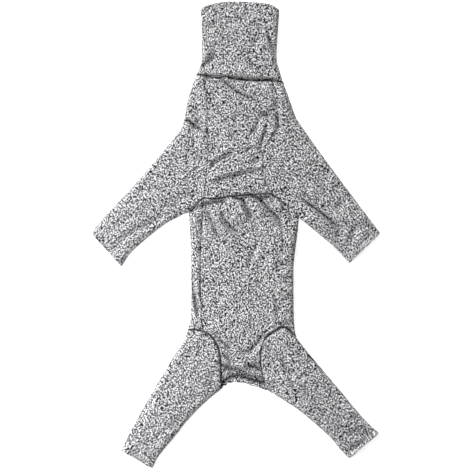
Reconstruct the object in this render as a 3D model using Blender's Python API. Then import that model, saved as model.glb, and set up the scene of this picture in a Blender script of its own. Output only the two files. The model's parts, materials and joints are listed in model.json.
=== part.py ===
"""A dog's recovery suit of stretch knit, lying flat with its belly side up.

Metres, +Z up, +Y towards the neck, +X to the right of someone who looks down on it. The origin is
under the middle of the suit, on the surface that it lies on. Eight cut pieces of cloth meet at their
seams. Each is an open sheet or tube of quads that the Solidify modifier makes into a wall of knit.

The seams are laid out in plan first. A place on the body is (across, down): across in half body
widths from the middle line, down in lengths of the fore body, the belly and the rump, so that 0 is
the neck seam, 1 the waist seam, 2 the hips and 3 the hem under the tail. Two surfaces then carry the
plan: the lower layer on the ground and the upper layer over it, which meet at the folded edges.
"""
import math
from collections import namedtuple

import bmesh
import bpy
import numpy as np

# The knit
CLOTH = 0.0012
SEAM_GAP = 0.0006
# Points of one piece that are closer than this are one point
WELD_REACH = 0.00006
# The cosine of the sharpest corner that is eased by its full share
SHARPEST_CORNER = 0.4

# Lengths down the body
COLLAR_HEIGHT = 0.092
FORE_LENGTH = 0.155
BELLY_LENGTH = 0.173
RUMP_LENGTH = 0.079

# Widths of the flat suit
COLLAR_WIDTH = 0.103
BODY_WIDTH = 0.142

# Sleeves and legs: root to cuff, width across the flat cuff, and degrees
LEFT_SLEEVE_LENGTH = 0.150
RIGHT_SLEEVE_LENGTH = 0.136
LEFT_LEG_LENGTH = 0.156
RIGHT_LEG_LENGTH = 0.151
LEFT_SLEEVE_CUFF = 0.060
RIGHT_SLEEVE_CUFF = 0.057
LEFT_LEG_CUFF = 0.047
RIGHT_LEG_CUFF = 0.052
LEFT_SLEEVE_SPREAD = 44.0
RIGHT_SLEEVE_SPREAD = 40.0
LEFT_LEG_SPREAD = 34.0
RIGHT_LEG_SPREAD = 45.0
SLEEVE_CUFF_TURN = 4.0
LEG_CUFF_TURN = -4.5

# How the two layers lie over each other
LOFT = 0.0105
MOUTH_LOFT = 0.0085
MOUTH_REACH = 0.022
FOLD_HEIGHT = 0.003
FOLD_REACH = 0.010
FOLD_TUCK = 0.0035
LEAST_HOLLOW = 0.005

# Steps of the mesh beside a folded edge, and points of a curve between two places that it passes
FOLD_STEPS = (0.0008, 0.0026, 0.0068)
CURVE_STEPS = 12

# Even cells across the pieces and down them
PANEL_CELLS = 13
COLLAR_TOP_CELLS = 17
BACK_CELLS = 6
COLLAR_CELLS = 6
SLEEVE_CELLS = 7
LEG_CELLS = 8

# Even cells along each side run, on the left and on the right
RUN_CELLS = {
    "neck": (2, 2), "panel_side": (5, 5), "arm_top": (2, 2), "arm_side": (5, 5), "arm_under": (3, 2),
    "side_seam": (12, 12), "leg_top": (3, 2), "leg_side": (6, 6), "leg_end": (1, 2),
    "fore_fold": (5, 5), "side_fold": (12, 12), "back_arm": (7, 7), "back_under": (3, 3), "back_leg": (10, 10),
}

# The suit's cloth: a light grey marl
MARL = (0.34, 0.34, 0.36, 1.0)
KNIT_ROUGHNESS = 0.95

# Where seams and folded edges meet, as (across, down) on each side of the body
Corner = namedtuple("Corner", "left right")
CORNERS = {
    "neck": Corner((-0.82, -0.03), (0.77, 0.04)),
    "panel_neck": Corner((-0.70, -0.02), (0.53, 0.01)),
    "shoulder": Corner((-1.06, 0.36), (1.01, 0.34)),
    "panel_arm": Corner((-0.62, 0.50), (0.68, 0.42)),
    "panel_waist": Corner((-0.69, 1.01), (0.55, 0.97)),
    "side_waist": Corner((-0.69, 1.01), (0.74, 1.035)),
    "back_waist": Corner((-0.79, 1.02), (0.79, 1.04)),
    "armpit": Corner((-0.97, 1.12), (1.06, 1.16)),
    "side_hip": Corner((-0.70, 2.02), (0.75, 1.98)),
    "hip": Corner((-0.98, 2.00), (1.00, 2.11)),
    "hem": Corner((-0.365, 2.85), (0.42, 2.86)),
    "tail": Corner((-0.39, 3.00), (0.49, 3.01)),
}

# Each seam or folded edge that each side has: the corners it joins and the places it passes
Run = namedtuple("Run", "start end left right")
RUNS = {
    "neck": Run("neck", "panel_neck", (), ()),
    "panel_side": Run("panel_neck", "panel_arm", ((-0.64, 0.14), (-0.62, 0.31)), ((0.66, 0.14), (0.68, 0.29))),
    "arm_top": Run("shoulder", "panel_arm", ((-0.90, 0.37), (-0.79, 0.41)), ((0.83, 0.36),)),
    "arm_side": Run("panel_arm", "panel_waist", ((-0.60, 0.62), (-0.63, 0.77), (-0.65, 0.89)),
                    ((0.53, 0.52), (0.42, 0.61), (0.39, 0.73), (0.43, 0.86))),
    "arm_under": Run("side_waist", "armpit", ((-0.82, 1.05),), ((0.92, 1.09),)),
    "side_seam": Run("side_waist", "side_hip", ((-0.73, 1.27), (-0.75, 1.50), (-0.74, 1.77)),
                     ((0.76, 1.35), (0.75, 1.51), (0.73, 1.74))),
    "leg_top": Run("hip", "side_hip", ((-0.81, 2.00),), ((0.90, 2.03), (0.82, 1.985))),
    "leg_side": Run("side_hip", "hem",
                    ((-0.60, 2.07), (-0.50, 2.16), (-0.43, 2.27), (-0.39, 2.42), (-0.37, 2.60)),
                    ((0.62, 2.02), (0.51, 2.08), (0.42, 2.18), (0.37, 2.33), (0.36, 2.52), (0.385, 2.72))),
    "leg_end": Run("hem", "tail", (), ()),
    "fore_fold": Run("neck", "shoulder", ((-0.90, 0.05), (-0.98, 0.17), (-1.035, 0.31)),
                     ((0.84, 0.12), (0.94, 0.25))),
    "side_fold": Run("armpit", "hip", ((-0.935, 1.36), (-0.925, 1.60), (-0.93, 1.89)),
                     ((1.03, 1.29), (0.97, 1.49), (0.96, 1.65), (0.97, 1.93))),
    "back_arm": Run("shoulder", "back_waist", ((-0.88, 0.50), (-0.76, 0.69), (-0.73, 0.87)),
                    ((0.84, 0.50), (0.72, 0.67), (0.70, 0.87))),
    "back_under": Run("back_waist", "armpit", (), ()),
    "back_leg": Run("hip", "tail", ((-0.75, 2.25), (-0.55, 2.59)), ((0.77, 2.36), (0.60, 2.69))),
}

# The seams and hems that cross the body from left to right
NECK_SEAM = ((-0.35, -0.01), (0.07, 0.005))
WAIST_SEAM = ((-0.48, 1.01), (-0.11, 0.99), (0.26, 0.975))
BELLY_HEM = ((-0.24, 2.80), (-0.15, 2.76), (-0.055, 2.75), (0.04, 2.775), (0.165, 2.82), (0.29, 2.85))
BACK_HEM = ((-0.31, 2.94), (-0.22, 2.89), (-0.08, 2.875), (0.06, 2.885), (0.15, 2.92), (0.28, 2.95))

# The collar in half collar widths and collar heights, from the neck seam up
COLLAR_CORNERS = Corner((-0.99, 0.985), (1.00, 0.96))
COLLAR_TOP = ((-0.73, 1.035), (-0.43, 1.065), (-0.10, 1.075), (0.30, 1.065), (0.74, 1.035))
COLLAR_SIDES = Corner(((-1.05, 0.11), (-0.98, 0.25), (-0.97, 0.53)),
                      ((1.01, 0.09), (0.93, 0.27), (0.95, 0.55)))

# How far the folded edges of the limbs bow inwards: (share of the way down, share of the edge)
Limb = namedtuple("Limb", "side top length spread cuff turn outer_bow inner_bow")
LIMBS = {
    "sleeve_left": Limb(-1, "shoulder", LEFT_SLEEVE_LENGTH, LEFT_SLEEVE_SPREAD, LEFT_SLEEVE_CUFF,
                        SLEEVE_CUFF_TURN, ((0.08, 0.022), (0.51, 0.021), (0.80, 0.005)),
                        ((0.11, 0.031), (0.36, 0.068), (0.78, 0.060))),
    "sleeve_right": Limb(1, "shoulder", RIGHT_SLEEVE_LENGTH, RIGHT_SLEEVE_SPREAD, RIGHT_SLEEVE_CUFF,
                         SLEEVE_CUFF_TURN, ((0.42, 0.006),), ((0.23, 0.012), (0.50, 0.023), (0.76, 0.024))),
    "leg_left": Limb(-1, "hip", LEFT_LEG_LENGTH, LEFT_LEG_SPREAD, LEFT_LEG_CUFF,
                     LEG_CUFF_TURN, ((0.10, 0.011), (0.30, -0.004), (0.60, -0.011), (0.90, -0.010)),
                     ((0.17, 0.030), (0.42, 0.047), (0.60, 0.038), (0.87, 0.032))),
    "leg_right": Limb(1, "hip", RIGHT_LEG_LENGTH, RIGHT_LEG_SPREAD, RIGHT_LEG_CUFF,
                      LEG_CUFF_TURN, ((0.17, 0.009), (0.48, 0.012), (0.85, 0.017)),
                      ((0.17, 0.025), (0.37, 0.046), (0.72, 0.041), (0.87, 0.015))),
}

# Folds of the upper layer on the body: rise and spread as shares of the loft and of the fold reach
Fold = namedtuple("Fold", "rise spread path")
BODY_FOLDS = (
    Fold(0.24, 0.75, ((-0.62, 0.93), (-0.30, 0.92), (0.10, 0.90), (0.50, 0.88))),
    Fold(-0.34, 0.50, ((-0.85, 1.07), (-0.66, 1.02), (-0.40, 1.015), (0.00, 1.00), (0.40, 0.985))),
    Fold(-0.26, 0.90, ((0.56, 0.985), (0.66, 1.00), (0.78, 1.04), (0.88, 1.08))),
    Fold(-0.24, 0.55, ((-0.60, 0.88), (-0.47, 0.87), (-0.29, 0.83), (-0.10, 0.82), (0.16, 0.79), (0.36, 0.78))),
    Fold(-0.20, 0.55, ((-0.53, 0.76), (-0.42, 0.70), (-0.24, 0.65), (-0.14, 0.63))),
    Fold(0.14, 0.70, ((-0.45, 0.79), (-0.25, 0.73), (0.05, 0.71))),
    Fold(-0.16, 0.55, ((0.07, 0.65), (0.26, 0.59), (0.37, 0.57))),
    Fold(-0.26, 0.45, ((-0.35, 0.00), (-0.27, 0.04), (-0.18, 0.08), (0.05, 0.13), (0.26, 0.16))),
    Fold(0.18, 0.60, ((-0.42, 0.10), (-0.25, 0.15), (-0.02, 0.19))),
    Fold(-0.28, 0.50, ((-1.00, 0.355), (-0.90, 0.38), (-0.79, 0.42))),
    Fold(0.18, 0.60, ((-0.93, 0.26), (-0.84, 0.33), (-0.75, 0.39))),
    Fold(-0.22, 0.60, ((0.66, 0.10), (0.68, 0.29), (0.68, 0.42))),
    Fold(-0.16, 0.60, ((0.38, 0.33), (0.53, 0.31), (0.57, 0.33))),
    Fold(-0.30, 0.50, ((-0.64, 1.08), (-0.53, 1.19), (-0.42, 1.28))),
    Fold(0.20, 0.60, ((-0.55, 1.06), (-0.46, 1.18), (-0.36, 1.30))),
    Fold(-0.26, 0.50, ((-0.38, 1.09), (-0.24, 1.18), (-0.09, 1.26))),
    Fold(0.20, 0.60, ((-0.20, 1.05), (-0.08, 1.14), (0.02, 1.22))),
    Fold(-0.26, 0.50, ((-0.02, 1.02), (0.07, 1.07), (0.16, 1.16))),
    Fold(0.20, 0.60, ((0.16, 1.03), (0.28, 1.10), (0.38, 1.17))),
    Fold(-0.32, 0.50, ((0.31, 1.01), (0.42, 1.08), (0.53, 1.14), (0.68, 1.18))),
    Fold(-0.26, 0.50, ((-0.92, 1.11), (-0.78, 1.10), (-0.74, 1.20))),
    Fold(-0.20, 0.55, ((-0.905, 1.62), (-0.87, 1.72), (-0.80, 1.83))),
    Fold(-0.22, 0.60, ((-0.48, 2.08), (-0.35, 2.20), (-0.20, 2.28), (0.03, 2.36), (0.20, 2.33), (0.38, 2.12))),
    Fold(0.20, 0.60, ((-0.35, 2.25), (-0.11, 2.49), (0.07, 2.63), (0.16, 2.72))),
    Fold(-0.24, 0.50, ((-0.33, 2.43), (-0.24, 2.50), (-0.16, 2.56))),
    Fold(-0.30, 0.55, ((-0.35, 2.65), (-0.20, 2.66), (0.00, 2.62))),
    Fold(-0.30, 0.55, ((0.15, 2.62), (0.30, 2.60), (0.36, 2.75))),
)

# Folds of the collar, in its own half widths and heights
COLLAR_FOLDS = (
    Fold(-0.28, 0.55, ((-0.98, 0.14), (-0.84, 0.20), (-0.70, 0.28), (-0.55, 0.33))),
    Fold(-0.28, 0.50, ((0.72, 0.55), (0.83, 0.43), (0.90, 0.32))),
    Fold(0.16, 0.90, ((0.12, 0.72), (0.18, 0.52), (0.28, 0.40))),
    Fold(-0.14, 0.60, ((-0.16, 0.52), (-0.02, 0.52))),
    Fold(0.18, 0.50, ((-0.90, 0.07), (-0.40, 0.045), (0.20, 0.04), (0.80, 0.04))),
)

# Folds of the limbs: (share across from the outer edge, share of the way to the cuff)
LIMB_FOLDS = {
    "sleeve_left": (Fold(-0.20, 0.60, ((0.84, 0.22), (0.76, 0.38), (0.72, 0.60))),
                    Fold(0.14, 0.70, ((0.60, 0.20), (0.50, 0.45), (0.48, 0.70)))),
    "sleeve_right": (Fold(-0.24, 0.55, ((0.75, 0.10), (0.72, 0.28), (0.62, 0.48), (0.55, 0.66))),
                     Fold(0.18, 0.60, ((0.88, 0.22), (0.80, 0.45), (0.70, 0.62)))),
    "leg_left": (Fold(-0.16, 0.60, ((0.10, 0.55), (0.14, 0.72), (0.18, 0.84))),
                 Fold(0.14, 0.80, ((0.75, 0.15), (0.60, 0.35), (0.50, 0.60)))),
    "leg_right": (Fold(-0.24, 0.55, ((0.42, 0.10), (0.45, 0.24), (0.50, 0.38))),
                  Fold(-0.18, 0.60, ((0.70, 0.50), (0.66, 0.62), (0.68, 0.72))),
                  Fold(0.16, 0.70, ((0.60, 0.15), (0.62, 0.30)))),
}


def place(across, down):
    """The plan point of a place on the body."""
    stations = (-1, 0, 1, 2, 3, 4)
    levels = (FORE_LENGTH, 0, -FORE_LENGTH, -FORE_LENGTH - BELLY_LENGTH,
              -FORE_LENGTH - BELLY_LENGTH - RUMP_LENGTH, -FORE_LENGTH - BELLY_LENGTH - 2 * RUMP_LENGTH)
    return np.array((across * BODY_WIDTH / 2, np.interp(down, stations, levels)))


def corner(name, side):
    """The plan point of a named corner."""
    return place(*getattr(CORNERS[name], side))


def collar_place(across, up):
    """The plan point of a place on the collar, whose middle is over that of the neck seam."""
    middle = (corner("neck", "left")[0] + corner("neck", "right")[0]) / 2
    return np.array((middle + across * COLLAR_WIDTH / 2, up * COLLAR_HEIGHT))


def lengths(points):
    """Distance travelled along a row of points."""
    steps = np.linalg.norm(np.diff(points, axis=0), axis=1)
    return np.concatenate(((0.0,), np.cumsum(steps)))


def smooth(points):
    """A dense smooth curve through a few points."""
    knots = np.array(points, float)
    ends = np.vstack((2 * knots[0] - knots[1], knots, 2 * knots[-1] - knots[-2]))
    fine = []
    for a, b, c, d in zip(ends, ends[1:], ends[2:], ends[3:]):
        for s in np.linspace(0, 1, CURVE_STEPS, endpoint=False):
            bend = (2 * a - 5 * b + 4 * c - d) * s * s + (3 * b - a - 3 * c + d) * s ** 3
            fine.append(0.5 * (2 * b + (c - a) * s + bend))
    fine.append(knots[-1])
    return np.array(fine)


def at_shares(points, shares):
    """Points on a dense curve at the given shares of its length."""
    reach = lengths(points)
    wanted = np.array(shares) * reach[-1]
    return np.stack([np.interp(wanted, reach, points[:, axis]) for axis in (0, 1)], axis=1)


def cut(curve, cells, folded=(False, False)):
    """A curve cut into even cells, with finer steps beside an end that lies on a folded edge."""
    total = lengths(curve)[-1]
    steps = [step / total for step in FOLD_STEPS]
    first = [0.0] + steps if folded[0] else [0.0]
    last = [1.0] + [1 - step for step in steps] if folded[1] else [1.0]
    middle = np.linspace(first[-1], last[-1], cells + 1)[1:-1]
    return at_shares(curve, [*first, *middle, *reversed(last)])


def trace(points, cells, folded=(False, False)):
    """A smooth curve through a few points, cut into cells."""
    return cut(smooth(points), cells, folded)


def run(name, side, cells, folded=(False, False)):
    """One of the side runs, traced from its start to its end."""
    row = RUNS[name]
    passed = [place(*spot) for spot in getattr(row, side)]
    return trace([corner(row.start, side), *passed, corner(row.end, side)], cells, folded)


def across_body(name, spots, cells, folded=(False, False)):
    """A run that crosses the body between the two corners of one name."""
    passed = [place(*spot) for spot in spots]
    return trace([corner(name, "left"), *passed, corner(name, "right")], cells, folded)


def chain(*runs):
    """Runs joined end to end."""
    return np.vstack([runs[0]] + [row[1:] for row in runs[1:]])


def shares_of(points):
    """Share of the whole length at each point."""
    reach = lengths(points)
    return reach / reach[-1]


def fill(start, end, left, right):
    """A Coons patch: a grid of plan points between four traced sides."""
    u = (shares_of(start) + shares_of(end))[:, None, None] / 2
    v = (shares_of(left) + shares_of(right))[None, :, None] / 2
    between_ends = (1 - v) * start[:, None] + v * end[:, None]
    between_sides = (1 - u) * left[None] + u * right[None]
    near = (1 - v) * left[0] + v * left[-1]
    far = (1 - v) * right[0] + v * right[-1]
    return between_ends + between_sides - ((1 - u) * near + u * far)


def bowed(start, end, bow, inward):
    """A limb's folded edge: nearly straight, bowed inwards by a few shares of its length."""
    chord = end - start
    normal = np.array((-chord[1], chord[0]))
    normal = normal if normal @ inward > 0 else -normal
    return [start, *[start + share * chord + depth * normal for share, depth in bow], end]


def limb_edges(name):
    """The outer and inner folded edges of a limb, each as the points that its curve passes."""
    limb = LIMBS[name]
    side = "left" if limb.side < 0 else "right"
    outer_root = corner(limb.top, side)
    inner_root = corner("armpit" if limb.top == "shoulder" else "tail", side)
    spread = math.radians(limb.spread)
    lean = math.radians(limb.spread + limb.turn)
    middle = (outer_root + inner_root) / 2
    cuff = middle + limb.length * np.array((limb.side * math.sin(spread), -math.cos(spread)))
    half = limb.cuff / 2 * np.array((-limb.side * math.cos(lean), -math.sin(lean)))
    inward = inner_root - outer_root
    return (bowed(outer_root, cuff - half, limb.outer_bow, inward),
            bowed(inner_root, cuff + half, limb.inner_bow, -inward))


def limb_place(name, across, along):
    """The plan point at a share across a limb and a share of the way to its cuff."""
    outer, inner = (at_shares(smooth(edge), (along,))[0] for edge in limb_edges(name))
    return outer + across * (inner - outer)


def side_distance(points, paths):
    """Distance from each plan point to the nearest of some open paths."""
    best = np.full(len(points), np.inf)
    for path in paths:
        for a, b in zip(path, path[1:]):
            along = b - a
            share = np.clip((points - a) @ along / (along @ along), 0, 1)
            best = np.minimum(best, np.linalg.norm(points - a - share[:, None] * along, axis=1))
    return best


class Plan:
    """The traced seams and folded edges of the whole suit, each one traced once."""

    def __init__(self):
        folds_at = {"neck": (True, False), "arm_top": (True, False), "leg_top": (True, False),
                    "arm_side": (False, True), "arm_under": (False, True), "leg_end": (False, True),
                    "back_under": (False, True), "back_arm": (True, True), "back_leg": (True, True)}
        self.runs = {side: {name: run(name, side, cells[index], folds_at.get(name, (False, False)))
                            for name, cells in RUN_CELLS.items()}
                     for index, side in enumerate(("left", "right"))}
        both = (True, True)
        neck_middle = [corner("panel_neck", "left"), *[place(*spot) for spot in NECK_SEAM],
                       corner("panel_neck", "right")]
        self.neck_middle = trace(neck_middle, PANEL_CELLS)
        self.neck = chain(self.runs["left"]["neck"], self.neck_middle, self.runs["right"]["neck"][::-1])
        self.neck_back = cut(self.neck, BACK_CELLS, both)
        self.waist = across_body("panel_waist", WAIST_SEAM, PANEL_CELLS)
        self.waist_end = np.array((corner("panel_waist", "right"), corner("side_waist", "right")))
        self.belly_hem = across_body("hem", BELLY_HEM, PANEL_CELLS + 1)
        self.back_hem = across_body("tail", BACK_HEM, BACK_CELLS, both)
        self.shoulder_line = across_body("shoulder", (), BACK_CELLS, both)
        self.armpit_line = across_body("armpit", (), BACK_CELLS, both)
        self.hip_line = across_body("hip", (), BACK_CELLS, both)
        self.collar_sides = Corner(self.collar_side("left"), self.collar_side("right"))
        top = [collar_place(*spot) for spot in (COLLAR_CORNERS.left, *COLLAR_TOP, COLLAR_CORNERS.right)]
        self.collar_top = trace(top, COLLAR_TOP_CELLS, both)
        self.limbs = {name: self.limb(name) for name in LIMBS}

        self.body_folds = [self.runs[side][name] for side in ("left", "right")
                           for name in ("fore_fold", "side_fold")]
        self.folded = self.body_folds + list(self.collar_sides)
        self.mouths = [self.collar_top, self.belly_hem]
        for limb in self.limbs.values():
            self.folded += [limb["outer"], limb["inner"]]
            self.mouths.append(limb["cuff"])
        self.creases = [(fold, smooth([place(*spot) for spot in fold.path])) for fold in BODY_FOLDS]
        self.creases += [(fold, smooth([collar_place(*spot) for spot in fold.path])) for fold in COLLAR_FOLDS]
        for name, folds in LIMB_FOLDS.items():
            self.creases += [(fold, smooth([limb_place(name, *spot) for spot in fold.path])) for fold in folds]

    def collar_side(self, side):
        """A folded side of the collar, from the neck seam up."""
        passed = [collar_place(*spot) for spot in getattr(COLLAR_SIDES, side)]
        top = collar_place(*getattr(COLLAR_CORNERS, side))
        return trace([corner("neck", side), *passed, top], COLLAR_CELLS)

    def limb(self, name):
        """The four sides of a limb's plan, for its upper and for its lower layer."""
        side = "left" if LIMBS[name].side < 0 else "right"
        runs = self.runs[side]
        outer, inner = (smooth(edge) for edge in limb_edges(name))
        if LIMBS[name].top == "shoulder":
            under = runs["arm_under"] if side == "left" else chain(self.waist_end, runs["arm_under"])
            inner = at_shares(inner, np.linspace(0, 1, SLEEVE_CELLS + 1))
            upper_side = chain(under, inner)
            lower_side = chain(runs["back_under"], inner)
            start = chain(runs["arm_top"], runs["arm_side"])
            back = runs["back_arm"]
        else:
            inner = at_shares(inner, np.linspace(0, 1, LEG_CELLS + 1))
            upper_side = lower_side = inner
            start = chain(runs["leg_top"], runs["leg_side"], runs["leg_end"])
            back = runs["back_leg"]
        outer = at_shares(outer, shares_of(upper_side))
        cells = len(start) - 1 - 2 * len(FOLD_STEPS)
        cuff = trace([outer[-1], inner[-1]], cells, (True, True))
        return {"outer": outer, "inner": inner, "cuff": cuff,
                "upper": (start, cuff, outer, upper_side),
                "lower": (back, cuff, outer, lower_side)}

    def upper(self, points):
        """Height of the upper layer over plan points."""
        flat = points.reshape(-1, 2)
        mouth = np.exp(-(side_distance(flat, self.mouths) / MOUTH_REACH) ** 2)
        loft = LOFT + (MOUTH_LOFT - LOFT) * mouth
        for fold, path in self.creases:
            away = side_distance(flat, [path]) / (fold.spread * FOLD_REACH)
            loft = loft + fold.rise * LOFT * np.exp(-away ** 2)
        loft = np.maximum(loft, 2 * CLOTH + LEAST_HOLLOW)
        inside = 1 - np.minimum(side_distance(flat, self.folded) / FOLD_REACH, 1)
        height = FOLD_HEIGHT + (loft - FOLD_HEIGHT) * np.sqrt(1 - inside ** 2)
        return height.reshape(points.shape[:2])

    def lower(self, points, folded):
        """Height of the lower layer, which turns up to meet the upper one at the folded edges."""
        inside = 1 - np.minimum(side_distance(points.reshape(-1, 2), folded) / FOLD_TUCK, 1)
        return (FOLD_HEIGHT * (1 - np.sqrt(1 - inside ** 2))).reshape(points.shape[:2])


def lay(mesh, grid, heights, faces_up):
    """Adds a patch of quads over a grid of plan points."""
    across, along = heights.shape
    verts = [[mesh.verts.new((*grid[i, j], heights[i, j])) for j in range(along)] for i in range(across)]
    side_u = grid[-1, 0] - grid[0, 0]
    side_v = grid[0, -1] - grid[0, 0]
    turned = (side_u[0] * side_v[1] - side_u[1] * side_v[0] > 0) != faces_up
    for i in range(across - 1):
        for j in range(along - 1):
            ring = (verts[i][j], verts[i + 1][j], verts[i + 1][j + 1], verts[i][j + 1])
            mesh.faces.new(ring[::-1] if turned else ring)


def ease_seams(mesh):
    """Draws every open edge of a piece back by half the seam gap."""
    moves = {}
    for edge in mesh.edges:
        if not edge.is_boundary:
            continue
        face = edge.link_faces[0]
        line = (edge.verts[1].co - edge.verts[0].co).normalized()
        inward = face.normal.cross(line)
        middle = (edge.verts[0].co + edge.verts[1].co) / 2
        if inward.dot(face.calc_center_median() - middle) < 0:
            inward.negate()
        for vert in edge.verts:
            moves.setdefault(vert, []).append(inward)
    for vert, ways in moves.items():
        way = (ways[0] + ways[1]).normalized()
        vert.co += way * (SEAM_GAP / 2 / max(way.dot(ways[0]), SHARPEST_CORNER))


def piece(name, patches, shift):
    """One cut piece of cloth: its patches welded, eased at the seams and given its thickness."""
    mesh = bmesh.new()
    for grid, heights, faces_up in patches:
        lay(mesh, grid, heights, faces_up)
    bmesh.ops.remove_doubles(mesh, verts=mesh.verts, dist=WELD_REACH)
    mesh.normal_update()
    ease_seams(mesh)
    bmesh.ops.translate(mesh, verts=mesh.verts, vec=shift)
    data = bpy.data.meshes.new(name)
    mesh.to_mesh(data)
    mesh.free()
    data.shade_smooth()
    cloth = bpy.data.objects.new(name, data)
    bpy.context.collection.objects.link(cloth)
    wall = cloth.modifiers.new("wall", "SOLIDIFY")
    wall.thickness = CLOTH
    wall.offset = -1
    data.materials.append(marl(name))
    return cloth


def marl(name):
    """The grey marled knit."""
    material = bpy.data.materials.new(name)
    material.use_nodes = True
    shader = material.node_tree.nodes["Principled BSDF"]
    shader.inputs["Base Color"].default_value = MARL
    shader.inputs["Roughness"].default_value = KNIT_ROUGHNESS
    shader.inputs["Metallic"].default_value = 0.0
    return material


def upper_patch(plan, *sides):
    """A patch of the upper layer."""
    grid = fill(*sides)
    return grid, plan.upper(grid), True


def lower_patch(plan, folded, *sides):
    """A patch of the lower layer, turned up along the given folded edges."""
    grid = fill(*sides)
    return grid, plan.lower(grid, folded), False


def collar(plan):
    """The neck tube: both layers between the neck seam and the top edge."""
    sides = (plan.neck, plan.collar_top, plan.collar_sides.left, plan.collar_sides.right)
    return [upper_patch(plan, *sides), lower_patch(plan, plan.folded, *sides)]


def chest_panel(plan):
    """The panel between the sleeves."""
    left, right = (chain(runs["panel_side"], runs["arm_side"]) for runs in plan.runs.values())
    return [upper_patch(plan, plan.neck_middle, plan.waist, left, right)]


def belly_panel(plan):
    """The panel gathered into the waist seam, down to the hem in front of the tail."""
    left, right = (chain(runs["side_seam"], runs["leg_side"]) for runs in plan.runs.values())
    return [upper_patch(plan, chain(plan.waist, plan.waist_end), plan.belly_hem, left, right)]


def back_panel(plan):
    """The long under piece, which wraps round the sides of the fore body and of the belly."""
    left, right = plan.runs["left"], plan.runs["right"]
    lines = (plan.neck_back, plan.shoulder_line, plan.armpit_line, plan.hip_line, plan.back_hem)
    edges = (("fore_fold",), ("back_arm", "back_under"), ("side_fold",), ("back_leg",))
    patches = []
    for start, end, names in zip(lines, lines[1:], edges):
        sides = (chain(*(runs[name] for name in names)) for runs in (left, right))
        patches.append(lower_patch(plan, plan.body_folds, start, end, *sides))
    for runs in (left, right):
        patches.append(upper_patch(plan, runs["neck"], runs["arm_top"], runs["fore_fold"], runs["panel_side"]))
        patches.append(upper_patch(plan, runs["arm_under"][::-1], runs["leg_top"],
                                   runs["side_fold"], runs["side_seam"]))
    return patches


def limb_tube(plan, name):
    """A sleeve or a leg: both layers from its seam to its cuff."""
    limb = plan.limbs[name]
    return [upper_patch(plan, *limb["upper"]), lower_patch(plan, plan.folded, *limb["lower"])]


def main():
    for thing in list(bpy.data.objects):
        bpy.data.objects.remove(thing)
    plan = Plan()
    outline = np.vstack(plan.folded + plan.mouths)
    middle = (outline.min(axis=0) + outline.max(axis=0)) / 2
    shift = (-middle[0], -middle[1], 0.0)
    piece("collar", collar(plan), shift)
    piece("chest_panel", chest_panel(plan), shift)
    piece("belly_panel", belly_panel(plan), shift)
    piece("back_panel", back_panel(plan), shift)
    for name in LIMBS:
        piece(name, limb_tube(plan, name), shift)


main()
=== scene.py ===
# %% [markdown]
# # A dog's recovery suit in grey marl knit
#
# A recovery suit is a pull-on garment of stretch jersey that covers a dog's neck, trunk and legs after
# an operation. Here it lies flat with its belly side up. Every piece of it is cloth, so this scene dresses
# the plain solids of the frame with finer cloth: the same pattern pieces, laid out again as close grids,
# with their seams, hems, gathers and creases, in a knit whose threads are light and dark grey.

# %% Load the frame and keep the size of its solids
import json
import math
from collections import namedtuple

import bmesh
import bpy
import numpy as np
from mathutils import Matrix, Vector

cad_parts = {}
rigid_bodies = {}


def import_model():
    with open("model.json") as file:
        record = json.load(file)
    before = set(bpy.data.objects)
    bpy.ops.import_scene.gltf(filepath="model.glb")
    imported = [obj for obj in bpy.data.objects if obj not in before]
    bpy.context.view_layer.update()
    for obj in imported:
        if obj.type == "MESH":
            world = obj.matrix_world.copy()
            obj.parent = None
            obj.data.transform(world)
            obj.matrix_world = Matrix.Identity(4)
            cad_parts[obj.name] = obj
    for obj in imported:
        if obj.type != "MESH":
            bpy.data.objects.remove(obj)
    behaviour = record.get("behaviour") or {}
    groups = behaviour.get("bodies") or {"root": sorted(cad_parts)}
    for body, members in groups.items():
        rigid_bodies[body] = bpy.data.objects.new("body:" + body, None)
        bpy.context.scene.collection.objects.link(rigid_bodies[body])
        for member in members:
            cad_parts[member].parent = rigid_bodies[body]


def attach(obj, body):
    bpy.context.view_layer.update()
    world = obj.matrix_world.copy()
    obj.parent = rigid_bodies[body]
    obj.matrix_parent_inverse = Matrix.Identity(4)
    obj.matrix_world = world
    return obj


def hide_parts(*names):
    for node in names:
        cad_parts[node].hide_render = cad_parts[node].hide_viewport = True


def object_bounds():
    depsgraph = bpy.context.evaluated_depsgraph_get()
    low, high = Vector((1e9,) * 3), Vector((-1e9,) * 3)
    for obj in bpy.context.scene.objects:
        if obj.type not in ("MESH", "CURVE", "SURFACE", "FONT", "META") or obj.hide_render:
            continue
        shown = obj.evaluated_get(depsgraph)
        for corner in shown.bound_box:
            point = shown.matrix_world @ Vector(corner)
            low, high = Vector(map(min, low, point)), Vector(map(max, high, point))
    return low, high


for thing in list(bpy.data.objects):
    bpy.data.objects.remove(thing)
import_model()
SOLID_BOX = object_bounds()
SUIT_SIZE = np.array(SOLID_BOX[1]) - np.array(SOLID_BOX[0])
print("the solids measure", np.round(SUIT_SIZE * 1000, 1), "mm")

# %% [markdown]
# ## The sizes of the suit
#
# A garment is easiest to describe by the sizes that a pattern cutter uses: lengths down the body, widths
# of the flat suit, and the length and spread of each sleeve. They were set when the solids were made, and
# a scene can't read that file, so they are written here again. The finished plan is then stretched to the
# box of the solids, so that the cloth follows the frame if the frame changes.

# %% Driving sizes, in metres and degrees
COLLAR_HEIGHT = 0.092
FORE_LENGTH = 0.155
BELLY_LENGTH = 0.173
RUMP_LENGTH = 0.079
COLLAR_WIDTH = 0.103
BODY_WIDTH = 0.142

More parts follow.
